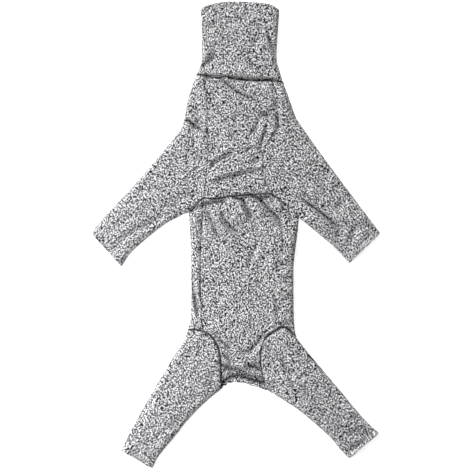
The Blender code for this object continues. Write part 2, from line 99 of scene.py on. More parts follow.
Limb = namedtuple("Limb", "side top length spread cuff turn outer_bow inner_bow")
LIMBS = {
    "sleeve_left": Limb("left", "shoulder", 0.150, 44.0, 0.060, 4.0,
                        ((0.08, 0.022), (0.51, 0.021), (0.80, 0.005)),
                        ((0.11, 0.031), (0.36, 0.068), (0.78, 0.060))),
    "sleeve_right": Limb("right", "shoulder", 0.136, 40.0, 0.057, 4.0,
                         ((0.42, 0.006),), ((0.23, 0.012), (0.50, 0.023), (0.76, 0.024))),
    "leg_left": Limb("left", "hip", 0.156, 34.0, 0.047, -4.5,
                     ((0.10, 0.011), (0.30, -0.004), (0.60, -0.011), (0.90, -0.010)),
                     ((0.17, 0.030), (0.42, 0.047), (0.60, 0.038), (0.87, 0.032))),
    "leg_right": Limb("right", "hip", 0.151, 45.0, 0.052, -4.5,
                      ((0.17, 0.009), (0.48, 0.012), (0.85, 0.017)),
                      ((0.17, 0.025), (0.37, 0.046), (0.72, 0.041), (0.87, 0.015))),
}
print(len(LIMBS), "limbs")

# %% [markdown]
# ## The pattern
#
# The seams and folded edges are laid out in plan before any cloth is made. A place on the body is a pair
# of shares, across in half body widths from the middle line and down in lengths of the body: 0 is the
# neck seam, 1 the waist seam, 2 the hips and 3 the hem under the tail. A seam that two pieces share is
# written once, so that the pieces meet however the sizes change.

# %% Corners where seams and folds meet, as (across, down) on each side
Corner = namedtuple("Corner", "left right")
CORNERS = {
    "neck": Corner((-0.82, -0.03), (0.77, 0.04)),
    "panel_neck": Corner((-0.70, -0.02), (0.53, 0.01)),
    "shoulder": Corner((-1.06, 0.36), (1.01, 0.34)),
    "panel_arm": Corner((-0.62, 0.50), (0.68, 0.42)),
    "panel_waist": Corner((-0.69, 1.01), (0.55, 0.97)),
    "side_waist": Corner((-0.69, 1.01), (0.74, 1.035)),
    "back_waist": Corner((-0.79, 1.02), (0.79, 1.04)),
    "armpit": Corner((-0.97, 1.12), (1.06, 1.16)),
    "side_hip": Corner((-0.70, 2.02), (0.75, 1.98)),
    "hip": Corner((-0.98, 2.00), (1.00, 2.11)),
    "hem": Corner((-0.365, 2.85), (0.42, 2.86)),
    "tail": Corner((-0.39, 3.00), (0.49, 3.01)),
}

# %% Seams and folded edges on each side, from corner to corner through a few places
Run = namedtuple("Run", "start end left right")
RUNS = {
    "neck": Run("neck", "panel_neck", (), ()),
    "panel_side": Run("panel_neck", "panel_arm", ((-0.64, 0.14), (-0.62, 0.31)), ((0.66, 0.14), (0.68, 0.29))),
    "arm_top": Run("shoulder", "panel_arm", ((-0.90, 0.37), (-0.79, 0.41)), ((0.83, 0.36),)),
    "arm_side": Run("panel_arm", "panel_waist", ((-0.60, 0.62), (-0.63, 0.77), (-0.65, 0.89)),
                    ((0.53, 0.52), (0.42, 0.61), (0.39, 0.73), (0.43, 0.86))),
    "arm_under": Run("side_waist", "armpit", ((-0.82, 1.05),), ((0.92, 1.09),)),
    "side_seam": Run("side_waist", "side_hip", ((-0.73, 1.27), (-0.75, 1.50), (-0.74, 1.77)),
                     ((0.76, 1.35), (0.75, 1.51), (0.73, 1.74))),
    "leg_top": Run("hip", "side_hip", ((-0.81, 2.00),), ((0.90, 2.03), (0.82, 1.985))),
    "leg_side": Run("side_hip", "hem", ((-0.60, 2.07), (-0.50, 2.16), (-0.43, 2.27), (-0.39, 2.42), (-0.37, 2.60)),
                    ((0.62, 2.02), (0.51, 2.08), (0.42, 2.18), (0.37, 2.33), (0.36, 2.52), (0.385, 2.72))),
    "leg_end": Run("hem", "tail", (), ()),
    "fore_fold": Run("neck", "shoulder", ((-0.90, 0.05), (-0.98, 0.17), (-1.035, 0.31)),
                     ((0.84, 0.12), (0.94, 0.25))),
    "side_fold": Run("armpit", "hip", ((-0.935, 1.36), (-0.925, 1.60), (-0.93, 1.89)),
                     ((1.03, 1.29), (0.97, 1.49), (0.96, 1.65), (0.97, 1.93))),
    "back_arm": Run("shoulder", "back_waist", ((-0.88, 0.50), (-0.76, 0.69), (-0.73, 0.87)),
                    ((0.84, 0.50), (0.72, 0.67), (0.70, 0.87))),
    "back_under": Run("back_waist", "armpit", (), ()),
    "back_leg": Run("hip", "tail", ((-0.75, 2.25), (-0.55, 2.59)), ((0.77, 2.36), (0.60, 2.69))),
}

# %% Seams and hems that cross the body, and the collar in its own half widths and heights
NECK_SEAM = ((-0.35, -0.01), (0.07, 0.005))
WAIST_SEAM = ((-0.48, 1.01), (-0.11, 0.99), (0.26, 0.975))
BELLY_HEM = ((-0.24, 2.80), (-0.15, 2.76), (-0.055, 2.75), (0.04, 2.775), (0.165, 2.82), (0.29, 2.85))
BACK_HEM = ((-0.31, 2.94), (-0.22, 2.89), (-0.08, 2.875), (0.06, 2.885), (0.15, 2.92), (0.28, 2.95))
COLLAR_CORNERS = Corner((-0.99, 0.985), (1.00, 0.96))
COLLAR_TOP = ((-0.73, 1.035), (-0.43, 1.065), (-0.10, 1.075), (0.30, 1.065), (0.74, 1.035))
COLLAR_SIDES = Corner(((-1.05, 0.11), (-0.98, 0.25), (-0.97, 0.53)),
                      ((1.01, 0.09), (0.93, 0.27), (0.95, 0.55)))

# %% [markdown]
# ## Curves through a few points
#
# A Catmull-Rom spline passes through every point that it is given, which suits seams that are known at a
# few places. The curves are kept dense, and each patch of cloth cuts them into as many cells as it needs.

# %% Places and smooth curves
CURVE_STEPS = 16


def place(across, down):
    """The plan point of a place on the body."""
    ends = np.cumsum((-FORE_LENGTH, FORE_LENGTH, FORE_LENGTH, BELLY_LENGTH, RUMP_LENGTH, RUMP_LENGTH))
    return np.array((across * BODY_WIDTH / 2, -np.interp(down, (-1, 0, 1, 2, 3, 4), ends)))


def collar_place(across, up):
    """The plan point of a place on the collar, whose middle is over that of the neck seam."""
    middle = (place(*CORNERS["neck"].left)[0] + place(*CORNERS["neck"].right)[0]) / 2
    return np.array((middle + across * COLLAR_WIDTH / 2, up * COLLAR_HEIGHT))


def smooth(points):
    """A dense smooth curve through a few points."""
    knots = np.array(points, float)
    ends = np.vstack((2 * knots[0] - knots[1], knots, 2 * knots[-1] - knots[-2]))
    s = np.linspace(0, 1, CURVE_STEPS, endpoint=False)[:, None]
    spans = []
    for a, b, c, d in zip(ends, ends[1:], ends[2:], ends[3:]):
        bend = (2 * a - 5 * b + 4 * c - d) * s ** 2 + (3 * b - a - 3 * c + d) * s ** 3
        spans.append(0.5 * (2 * b + (c - a) * s + bend))
    return np.vstack([*spans, knots[-1:]])


def reach_along(points):
    """Distance travelled along a row of points."""
    return np.concatenate(((0.0,), np.cumsum(np.linalg.norm(np.diff(points, axis=0), axis=1))))


def chain(*curves):
    """Curves joined end to end."""
    return np.vstack([curves[0]] + [curve[1:] for curve in curves[1:]])


# %% Trace every seam and folded edge of the body and the collar
def trace_run(name, side):
    """A seam or folded edge of one side, from its start to its end."""
    run = RUNS[name]
    passed = [place(*spot) for spot in getattr(run, side)]
    ends = [place(*getattr(CORNERS[corner], side)) for corner in (run.start, run.end)]
    return smooth([ends[0], *passed, ends[1]])


def trace_across(name, spots):
    """A seam, hem or line that crosses the body between the two corners of one name."""
    corners = CORNERS[name]
    return smooth([place(*corners.left), *[place(*spot) for spot in spots], place(*corners.right)])


SIDES = {side: {name: trace_run(name, side) for name in RUNS} for side in ("left", "right")}
neck_middle = trace_across("panel_neck", NECK_SEAM)
neck_line = chain(SIDES["left"]["neck"], neck_middle, SIDES["right"]["neck"][::-1])
waist_line = trace_across("panel_waist", WAIST_SEAM)
waist_end = np.array((place(*CORNERS["panel_waist"].right), place(*CORNERS["side_waist"].right)))
belly_hem = trace_across("hem", BELLY_HEM)
back_hem = trace_across("tail", BACK_HEM)
collar_sides = [smooth([place(*getattr(CORNERS["neck"], side)),
                        *[collar_place(*spot) for spot in getattr(COLLAR_SIDES, side)],
                        collar_place(*getattr(COLLAR_CORNERS, side))]) for side in ("left", "right")]
collar_top = smooth([collar_place(*spot) for spot in (COLLAR_CORNERS.left, *COLLAR_TOP, COLLAR_CORNERS.right)])
print("the neck seam is", round(reach_along(neck_line)[-1] * 1000), "mm across")

# %% [markdown]
# ## Sleeves and legs
#
# Each limb is a flat tube between two folded edges that run from the body to the cuff. The edges are
# nearly straight. Where the photo shows them bow, a table gives the bow as shares of the edge's length,
# so that a longer sleeve keeps its line.


# %% Trace the folded edges and the cuff of each limb
def bowed(start, end, bow, inward):
    """A nearly straight edge that bows inwards."""
    chord = end - start
    normal = np.array((-chord[1], chord[0]))
    normal = normal if normal @ inward > 0 else -normal
    return smooth([start, *[start + share * chord + depth * normal for share, depth in bow], end])


def trace_limb(limb):
    """A limb's outer edge, inner edge and cuff, and its direction."""
    out = -1 if limb.side == "left" else 1
    outer_root = place(*getattr(CORNERS[limb.top], limb.side))
    inner_root = place(*getattr(CORNERS["armpit" if limb.top == "shoulder" else "tail"], limb.side))
    spread = math.radians(limb.spread)
    lean = math.radians(limb.spread + limb.turn)
    direction = np.array((out * math.sin(spread), -math.cos(spread)))
    cuff = (outer_root + inner_root) / 2 + limb.length * direction
    half = limb.cuff / 2 * np.array((-out * math.cos(lean), -math.sin(lean)))
    inward = inner_root - outer_root
    outer = bowed(outer_root, cuff - half, limb.outer_bow, inward)
    inner = bowed(inner_root, cuff + half, limb.inner_bow, -inward)
    return {"outer": outer, "inner": inner, "cuff": np.array((outer[-1], inner[-1])), "direction": direction}


limb_lines = {name: trace_limb(limb) for name, limb in LIMBS.items()}
for name, lines in limb_lines.items():
    print(name, "is", round(np.linalg.norm(lines["cuff"][1] - lines["cuff"][0]) * 1000), "mm wide at its cuff")

# %% [markdown]
# ## Creases and rolls
#
# Jersey that lies flat falls into soft rolls and sharper creases. A roll is a rounded ridge. A crease is a
# valley, often with a small ridge on one side where the cloth doubles up. Each is a path with a height in
# millimetres and a half width, which is how far from the path it fades. The ridge lies on the left of
# somebody who walks along the path, and a path can be read in the other direction to change its side.
# Where cloth hangs over its own crease, one side also leans over the valley, the left one for a positive
# lean and the right one for a negative, which makes the dark gap that no height alone can give.

# %% Rolls and creases of the body, in (across, down)
Fold = namedtuple("Fold", "valley ridge lean width path")
BODY_FOLDS = (
    # the collar's cloth hangs over the neck seam
    Fold(2.6, 0.8, 0.5, 1.6, ((-0.66, -0.015), (-0.46, -0.01), (-0.33, 0.00))),
    Fold(3.0, 0.9, 0.6, 1.7, ((-0.20, 0.005), (0.07, 0.015), (0.53, 0.02), (0.72, 0.035))),
    # the roll above the waist seam, which hangs over the belly panel
    Fold(-0.9, 0.0, 0.0, 6.5, ((-0.64, 0.935), (-0.30, 0.925), (0.10, 0.905), (0.50, 0.89))),
    Fold(4.6, 1.4, 0.6, 2.2, ((-0.70, 1.055), (-0.55, 1.04), (-0.40, 1.03), (-0.24, 1.02))),
    Fold(2.2, 0.4, 0.4, 2.2, ((-0.16, 1.015), (0.00, 1.01), (0.16, 1.00))),
    Fold(3.2, 0.5, 0.6, 2.5, ((0.16, 0.995), (0.40, 0.99), (0.58, 0.99))),
    # gathers that run down from the waist seam
    Fold(3.8, 1.0, 0.9, 2.9, ((0.21, 1.19), (0.13, 1.12), (0.07, 1.06), (0.00, 1.02), (-0.12, 1.00))),
    Fold(4.2, 1.1, 1.0, 3.2, ((0.75, 1.22), (0.67, 1.16), (0.52, 1.11), (0.41, 1.05), (0.30, 1.01), (0.16, 0.995))),
    Fold(2.2, 0.5, 0.4, 3.0, ((0.38, 1.00), (0.54, 1.01), (0.60, 1.07))),
    Fold(2.8, 0.9, 0.6, 2.2, ((-0.66, 1.07), (-0.57, 1.15), (-0.48, 1.24), (-0.40, 1.32))),
    Fold(2.4, 0.8, 0.6, 3.2, ((0.02, 1.28), (-0.10, 1.26), (-0.20, 1.23), (-0.30, 1.17), (-0.40, 1.10))),
    Fold(0.9, 0.3, 0.0, 3.0, ((0.12, 1.12), (0.20, 1.17), (0.26, 1.24))),
    Fold(-1.3, 0.0, 0.0, 3.6, ((-0.46, 1.08), (-0.36, 1.17), (-0.22, 1.29), (-0.12, 1.36))),
    Fold(-0.8, 0.0, 0.0, 3.4, ((-0.16, 1.06), (-0.08, 1.12), (0.02, 1.22))),
    Fold(-1.0, 0.0, 0.0, 3.4, ((0.16, 1.05), (0.28, 1.10), (0.40, 1.17))),
    # at the left armpit and down the left side
    Fold(2.4, 0.4, 1.6, 3.0, ((-0.95, 1.13), (-0.83, 1.085), (-0.70, 1.08))),
    Fold(1.4, 0.0, 0.0, 3.0, ((-0.84, 1.15), (-0.74, 1.17), (-0.72, 1.25))),
    Fold(3.4, 1.0, 0.6, 2.2, ((-0.78, 1.90), (-0.83, 1.81), (-0.87, 1.71), (-0.905, 1.56))),
    Fold(0.9, 0.4, 0.0, 2.6, ((-0.62, 1.84), (-0.70, 1.72), (-0.74, 1.60))),
    # at the right armpit and down the right side
    Fold(1.5, 0.4, 0.4, 3.0, ((0.88, 1.11), (0.95, 1.17), (1.01, 1.20))),
    Fold(1.0, 0.4, 0.0, 2.6, ((0.72, 1.93), (0.68, 1.86), (0.64, 1.80), (0.65, 1.72))),
    Fold(0.8, 0.4, 0.0, 3.0, ((0.90, 1.72), (0.82, 1.60), (0.70, 1.55), (0.66, 1.45))),
    # below the neck seam
    Fold(2.3, 0.9, 0.5, 2.0, ((-0.36, 0.01), (-0.28, 0.045), (-0.19, 0.08), (-0.06, 0.12), (0.07, 0.15), (0.24, 0.175))),
    Fold(-0.7, 0.0, 0.0, 5.0, ((-0.46, 0.10), (-0.25, 0.17), (0.00, 0.22))),
    Fold(1.1, 0.4, 0.0, 4.2, ((-0.88, 0.13), (-0.82, 0.20), (-0.78, 0.29), (-0.66, 0.31))),
    # down the right side of the fore body
    Fold(1.7, 0.6, 0.5, 3.2, ((0.49, 0.09), (0.60, 0.12), (0.65, 0.19), (0.67, 0.29), (0.69, 0.39), (0.68, 0.46))),
    Fold(1.6, 0.0, 0.0, 2.8, ((0.62, 0.33), (0.70, 0.37), (0.69, 0.44))),
    Fold(1.6, 0.0, 0.0, 2.4, ((0.90, 0.24), (0.94, 0.30), (0.98, 0.335))),
    # the left shoulder
    Fold(4.0, 1.1, 0.9, 2.6, ((-1.03, 0.34), (-0.93, 0.37), (-0.86, 0.40), (-0.76, 0.43))),
    Fold(1.0, 0.0, 0.0, 4.0, ((-0.92, 0.42), (-0.84, 0.46), (-0.78, 0.52))),
    # the chest
    Fold(2.4, 1.0, 0.5, 2.2, ((-0.62, 0.885), (-0.48, 0.87), (-0.30, 0.835), (-0.11, 0.82), (0.03, 0.80), (0.20, 0.78),
                              (0.40, 0.775))),
    Fold(1.7, 0.8, 0.4, 2.4, ((-0.58, 0.77), (-0.46, 0.71), (-0.30, 0.67), (-0.14, 0.63))),
    Fold(1.6, 0.7, 0.4, 2.2, ((0.04, 0.63), (0.23, 0.59), (0.40, 0.60))),
    Fold(1.3, 0.5, 0.3, 2.6, ((0.38, 0.59), (0.40, 0.53), (0.45, 0.46), (0.47, 0.40))),
    Fold(1.9, 0.5, -1.0, 3.2, ((0.64, 0.325), (0.49, 0.315), (0.36, 0.34), (0.30, 0.40), (0.22, 0.46), (0.12, 0.50))),
    Fold(1.7, 0.3, -0.8, 3.0, ((0.38, 0.70), (0.20, 0.72))),
    Fold(0.9, 0.0, 0.0, 5.0, ((-0.50, 0.48), (-0.44, 0.60), (-0.52, 0.68))),
    Fold(0.8, 0.3, 0.0, 4.0, ((-0.02, 0.36), (-0.10, 0.42), (-0.02, 0.50), (0.08, 0.48))),
    Fold(-0.7, 0.0, 0.0, 5.0, ((-0.45, 0.79), (-0.25, 0.735), (0.05, 0.71))),
    Fold(-0.6, 0.0, 0.0, 6.0, ((-0.30, 0.30), (-0.12, 0.27), (0.06, 0.30))),
    # small arcs on the belly
    Fold(1.2, 0.4, 0.3, 2.4, ((0.31, 1.37), (0.24, 1.42), (0.20, 1.47), (0.12, 1.55))),
    Fold(0.7, 0.3, 0.0, 3.0, ((0.00, 1.36), (0.08, 1.37), (0.16, 1.42))),
    Fold(0.6, 0.3, 0.0, 3.2, ((0.30, 1.86), (0.18, 1.80), (0.02, 1.82), (-0.06, 1.90))),
    Fold(-0.5, 0.0, 0.0, 8.0, ((-0.36, 1.58), (-0.26, 1.66), (-0.14, 1.80))),
    # the drag lines from the legs into the crotch
    Fold(1.7, 0.8, 0.8, 2.2, ((-0.16, 2.33), (-0.22, 2.30), (-0.32, 2.22), (-0.43, 2.12), (-0.56, 2.03))),
    Fold(1.7, 0.5, -0.6, 2.8, ((0.53, 2.10), (0.40, 2.13), (0.31, 2.22), (0.20, 2.32), (0.09, 2.37), (-0.06, 2.34),
                              (-0.22, 2.30))),
    Fold(2.4, 0.5, 0.3, 1.3, ((0.43, 2.16), (0.51, 2.08), (0.62, 2.02), (0.75, 1.98), (0.84, 1.99), (0.93, 2.05))),
    Fold(1.6, 0.5, 0.6, 2.4, ((0.98, 2.04), (0.92, 1.98), (0.84, 1.95), (0.72, 1.965))),
    Fold(1.7, 0.7, 0.8, 1.9, ((-0.15, 2.58), (-0.25, 2.48), (-0.35, 2.38))),
    Fold(4.6, 1.7, 0.6, 2.3, ((-0.40, 2.55), (-0.30, 2.60), (-0.20, 2.62), (-0.07, 2.64), (0.06, 2.69))),
    Fold(3.2, 0.6, 0.5, 1.8, ((-0.04, 2.66), (0.08, 2.71), (0.20, 2.76), (0.31, 2.80), (0.43, 2.83))),
    Fold(3.8, 0.6, 0.8, 2.8, ((0.12, 2.60), (0.28, 2.60), (0.38, 2.66))),
    Fold(1.8, 0.0, 0.0, 3.2, ((0.34, 2.62), (0.34, 2.72))),
    Fold(-1.3, 0.0, 0.0, 2.8, ((-0.34, 2.28), (-0.19, 2.43), (0.01, 2.56), (0.15, 2.70))),
    # the belly hem lies close over the back
    Fold(1.9, 0.0, 0.0, 4.5, ((-0.36, 2.84), (-0.24, 2.80), (-0.055, 2.75), (0.165, 2.82), (0.40, 2.86))),
)
print(len(BODY_FOLDS), "folds on the body")

# %% Folds of the collar and of the limbs
COLLAR_FOLDS = (
    Fold(-1.0, 0.0, 0.0, 3.0, ((-1.00, 0.085), (-0.50, 0.070), (0.13, 0.060), (0.90, 0.055))),
    Fold(2.4, 0.8, 0.5, 2.6, ((-1.00, 0.13), (-0.88, 0.19), (-0.78, 0.25), (-0.60, 0.32))),
    Fold(1.0, 0.3, 0.0, 4.0, ((-0.50, 0.20), (-0.62, 0.24), (-0.74, 0.18))),
    Fold(3.2, 0.7, 0.8, 2.2, ((0.90, 0.27), (0.86, 0.36), (0.79, 0.47), (0.71, 0.60))),
    Fold(1.2, 0.3, 0.0, 2.6, ((-0.19, 0.52), (-0.04, 0.52))),
    Fold(1.0, 0.3, 0.0, 3.0, ((0.21, 0.265), (0.10, 0.24), (-0.02, 0.27))),
    Fold(1.0, 0.3, 0.0, 3.2, ((-0.48, 0.36), (-0.62, 0.42), (-0.72, 0.38))),
    Fold(0.8, 0.3, 0.0, 3.6, ((0.24, 0.88), (0.10, 0.82), (-0.02, 0.80))),
    Fold(1.2, 0.3, 0.0, 4.6, ((-0.90, 0.62), (-0.76, 0.70), (-0.60, 0.66))),
    Fold(1.0, 0.3, 0.0, 3.4, ((-0.98, 0.44), (-0.86, 0.52), (-0.80, 0.60))),
    Fold(-0.8, 0.0, 0.0, 5.0, ((0.10, 0.72), (0.15, 0.53), (0.26, 0.39))),
)
# (share across from the outer edge, share of the way to the cuff)
LIMB_FOLDS = {
    "sleeve_left": (
        Fold(1.1, 0.4, 0.2, 3.4, ((0.66, 0.89), (0.69, 0.76), (0.76, 0.61), (0.86, 0.40), (0.89, 0.20))),
        Fold(0.6, 0.3, 0.0, 3.6, ((0.08, 0.22), (0.16, 0.36), (0.22, 0.46))),
        Fold(-0.5, 0.0, 0.0, 9.0, ((0.55, 0.15), (0.48, 0.45), (0.46, 0.72))),
        Fold(0.6, 0.2, 0.0, 3.6, ((0.36, 0.86), (0.44, 0.74), (0.42, 0.62))),
    ),
    "sleeve_right": (
        Fold(3.0, 1.0, 0.7, 2.6, ((0.62, 0.72), (0.68, 0.58), (0.70, 0.45), (0.74, 0.25), (0.78, 0.04))),
        Fold(-0.6, 0.0, 0.0, 5.0, ((0.90, 0.16), (0.86, 0.32), (0.80, 0.54))),
        Fold(0.9, 0.4, 0.0, 3.6, ((0.20, 0.34), (0.34, 0.42), (0.46, 0.40))),
        Fold(1.0, 0.3, 0.0, 4.2, ((0.24, 0.90), (0.40, 0.82), (0.62, 0.86))),
        Fold(0.8, 0.3, 0.0, 3.4, ((0.30, 0.56), (0.42, 0.62), (0.40, 0.72))),
    ),
    "leg_left": (
        Fold(1.1, 0.4, 0.3, 3.0, ((0.06, 0.50), (0.10, 0.66), (0.14, 0.79), (0.18, 0.90))),
        Fold(-0.5, 0.0, 0.0, 8.0, ((0.75, 0.12), (0.60, 0.35), (0.50, 0.62))),
        Fold(0.8, 0.3, 0.0, 3.6, ((0.82, 0.55), (0.72, 0.66), (0.70, 0.78))),
        Fold(1.6, 0.6, 0.8, 2.0, ((0.92, 0.985), (0.50, 0.975), (0.12, 0.955))),
    ),
    "leg_right": (
        Fold(1.5, 0.5, 0.4, 2.2, ((0.48, 0.10), (0.50, 0.22), (0.56, 0.33))),
        Fold(1.7, 0.6, 0.6, 2.4, ((0.38, -0.02), (0.48, 0.04), (0.51, 0.10), (0.62, 0.17))),
        Fold(1.4, 0.5, 0.4, 2.8, ((0.60, 0.16), (0.71, 0.24), (0.76, 0.33))),
        Fold(1.3, 0.5, 0.3, 2.8, ((0.82, 0.42), (0.83, 0.53), (0.90, 0.63))),
        Fold(1.2, 0.4, 0.2, 3.2, ((0.52, 0.62), (0.44, 0.70), (0.36, 0.74))),
        Fold(0.9, 0.4, 0.0, 3.4, ((0.66, 0.76), (0.58, 0.84), (0.40, 0.88))),
        Fold(1.4, 0.5, 0.6, 2.0, ((0.10, 0.965), (0.50, 0.970), (0.94, 0.955))),
    ),
}
print(sum(len(folds) for folds in LIMB_FOLDS.values()), "folds on the limbs")

# %% [markdown]
# ## How high the cloth lies
#
# The lower layer lies on the floor and the upper layer over it. They meet at the folded edges, where the
# cloth turns through a small round bend, so the height climbs from there along a quarter of an ellipse.
# Everything else is added to that height: folds, the groove of each seam, the doubled hem at each mouth,
# and a little unevenness, because no real cloth is level.

# %% Sizes across the thickness, in metres
CLOTH = 0.0012
LOFT = 0.0105
MOUTH_LOFT = 0.0085
MOUTH_REACH = 0.022
FOLD_HEIGHT = 0.003
FOLD_REACH = 0.008
FOLD_TUCK = 0.0035
LEAST_HEIGHT = 0.0038
SOFT_FLOOR = 0.0006
HEM_WIDTH = 0.0075
HEM_RISE = 0.0008
HEM_STEP = 0.0004
STITCH_ROWS = (0.0042, 0.0066)
STITCH_SINK = 0.0010
STITCH_WAY = 0.0007
CURL_HEIGHT = 0.0030
CURL_REACH = 0.0055

# depth of each seam's groove in millimetres, and of the little puckers beside it
Seam = namedtuple("Seam", "depth pucker")
SEAM_WIDTH = 0.0011
SEAM_DEPTH = 1.5
PUCKER_LENGTH = 0.0095
PUCKER_REACH = 0.0060
CROSS_SEAMS = {"neck": Seam(2.6, 0.30), "waist": Seam(2.4, 0.55)}
SIDE_SEAMS = {
    "panel_side": Corner(Seam(0.3, 0.15), Seam(0.5, 0.20)),
    "arm_top": Corner(Seam(1.2, 0.25), Seam(0.7, 0.20)),
    "arm_side": Corner(Seam(0.6, 0.20), Seam(0.6, 0.20)),
    "arm_under": Corner(Seam(1.5, 0.25), Seam(0.8, 0.25)),
    "side_seam": Corner(Seam(1.0, 0.25), Seam(0.4, 0.20)),
    "leg_top": Corner(Seam(3.2, 0.20), Seam(3.2, 0.20)),
    "leg_side": Corner(Seam(3.4, 0.25), Seam(1.8, 0.25)),
}
MILLIMETRE = 0.001
# a seam is open by this much, and by this much more for each millimetre of its depth
SEAM_GAP = 0.0003
SEAM_GAPE = 0.00030
SEAM_REACH = 0.0003
# the ditch of a seam gets painted shade this far from it, at its fullest from this depth on
DITCH_SHADE_REACH = 0.0009
FULL_SHADE_DEPTH = 2.6
# the bottom of a deep crease gets painted shade, by this share for each millimetre over the least depth
CREASE_SHADE = 0.17
CREASE_DEPTH = 1.2
CREASE_CORE = 0.6
# painted shade also darkens the edge of the belly's hem and the back right under it
HEM_SHADE_REACH = 0.0019


# %% Find where points lie beside a path
def beside(points, path, reach):
    """Which points are near a path: their signed distance to it, how far along it they are, and the way to it."""
    close = np.flatnonzero(((points > path.min(axis=0) - reach) & (points < path.max(axis=0) + reach)).all(axis=1))
    along = np.diff(path, axis=0)
    from_start = points[close][:, None] - path[:-1]
    share = np.clip((from_start * along).sum(axis=2) / (along ** 2).sum(axis=1), 0, 1)
    offset = from_start - share[..., None] * along
    gap = np.linalg.norm(offset, axis=2)
    best = gap.argmin(axis=1)
    rows = np.arange(len(close))
    turn = along[best, 0] * offset[rows, best, 1] - along[best, 1] * offset[rows, best, 0]
    travelled = reach_along(path)
    step = np.linalg.norm(along, axis=1)
    reached = travelled[best] + share[rows, best] * step[best]
    toward = -offset[rows, best] / np.maximum(gap[rows, best], 1e-9)[:, None]
    return close, np.where(turn < 0, -1, 1) * gap[rows, best], reached, toward


def nearest(points, paths, reach):
    """Distance from each point to the nearest of some paths, no more than reach."""
    best = np.full(len(points), reach)
    for path in paths:
        close, gap = beside(points, path, reach)[:2]
        best[close] = np.minimum(best[close], np.abs(gap))
    return best


# %% Gather every path that shapes the cloth
def limb_place(name, across, along):
    """The plan point at a share across a limb and a share of the way to its cuff."""
    spots = []
    for edge in ("outer", "inner"):
        curve = limb_lines[name][edge]
        travelled = reach_along(curve)
        wanted = along * travelled[-1]
        spots.append(np.array([np.interp(wanted, travelled, curve[:, axis]) for axis in (0, 1)]))
        if along < 0:
            spots[-1] = curve[0] + wanted * (curve[1] - curve[0]) / travelled[1]
    return spots[0] + across * (spots[1] - spots[0])


body_edges = [SIDES[side][name] for side in SIDES for name in ("fore_fold", "side_fold")]
limb_edges = [lines[edge] for lines in limb_lines.values() for edge in ("outer", "inner")]
folded_edges = body_edges + limb_edges + collar_sides
mouths = [collar_top, belly_hem] + [lines["cuff"] for lines in limb_lines.values()]

fold_paths = [(fold, smooth([place(*spot) for spot in fold.path])) for fold in BODY_FOLDS]
fold_paths += [(fold, smooth([collar_place(*spot) for spot in fold.path])) for fold in COLLAR_FOLDS]
for name, folds in LIMB_FOLDS.items():
    fold_paths += [(fold, smooth([limb_place(name, *spot) for spot in fold.path])) for fold in folds]
seam_paths = [(CROSS_SEAMS["neck"], neck_line), (CROSS_SEAMS["waist"], chain(waist_line, waist_end))]
for name, seams in SIDE_SEAMS.items():
    seam_paths += [(getattr(seams, side), SIDES[side][name]) for side in SIDES]
print(len(fold_paths), "folds and", len(seam_paths), "seams shape the upper layer")

# %% Heights of the two layers
UNEVEN = ((0.00045, 0.046), (0.00038, 0.022), (0.00018, 0.012))
UNEVEN_WAVES = 7
END_FADE = 0.22
FOLD_DEPTH = 2.1
FOLD_SPREAD = 1.2


def fade_ends(share):
    """1 along most of a fold, falling smoothly to 0 at its two ends."""
    near_end = np.clip(np.minimum(share, 1 - share) / END_FADE, 0, 1)
    return 0.25 + 0.75 * near_end * near_end * (3 - 2 * near_end)


def fold_relief(points):
    """Height that the rolls and creases add, and how far they lean."""
    relief = np.zeros(len(points))
    lean = np.zeros((len(points), 2))
    for fold, path in fold_paths:
        width = fold.width * FOLD_SPREAD * MILLIMETRE
        close, gap, reached, toward = beside(points, path, 4 * width)
        strength = fade_ends(reached / reach_along(path)[-1])
        valley = fold.valley * np.exp(-(gap / width) ** 2)
        ridge = fold.ridge * np.exp(-((gap - 1.9 * width) / (1.1 * width)) ** 2)
        relief[close] += strength * (ridge - valley) * FOLD_DEPTH * MILLIMETRE
        brink = math.copysign(1.2, fold.lean) * width
        hang = strength * abs(fold.lean) * np.exp(-((gap - brink) / (0.9 * width)) ** 2)
        lean[close] += hang[:, None] * toward * MILLIMETRE
    return relief, lean


def seam_relief(points):
    """The groove and the puckers of every seam."""
    relief = np.zeros(len(points))
    for seam, path in seam_paths:
        close, gap, reached, _ = beside(points, path, 4 * PUCKER_REACH)
        groove = -SEAM_DEPTH * seam.depth * np.exp(-(gap / SEAM_WIDTH) ** 2)
        wave = 2 * math.pi * reached / PUCKER_LENGTH
        puckers = seam.pucker * np.sin(wave + 1.7 * np.sin(0.37 * wave)) * np.exp(-(gap / PUCKER_REACH) ** 2)
        relief[close] = np.where(groove < relief[close] / MILLIMETRE, groove * MILLIMETRE, relief[close])
        relief[close] += puckers * MILLIMETRE
    return relief


def seam_gap(points):
    """How far the two pieces at a seam are apart, which is more where the seam lies deep."""
    gap = np.full(len(points), SEAM_GAP)
    for seam, path in seam_paths:
        close = beside(points, path, SEAM_REACH)[0]
        gap[close] = np.maximum(gap[close], SEAM_GAP + SEAM_GAPE * seam.depth)
    return gap


def hem_shade(points):
    """How far each point lies in the shade of the belly's hem, from 0 to 1."""
    return np.exp(-(nearest(points, [belly_hem], 3 * HEM_SHADE_REACH) / HEM_SHADE_REACH) ** 2)


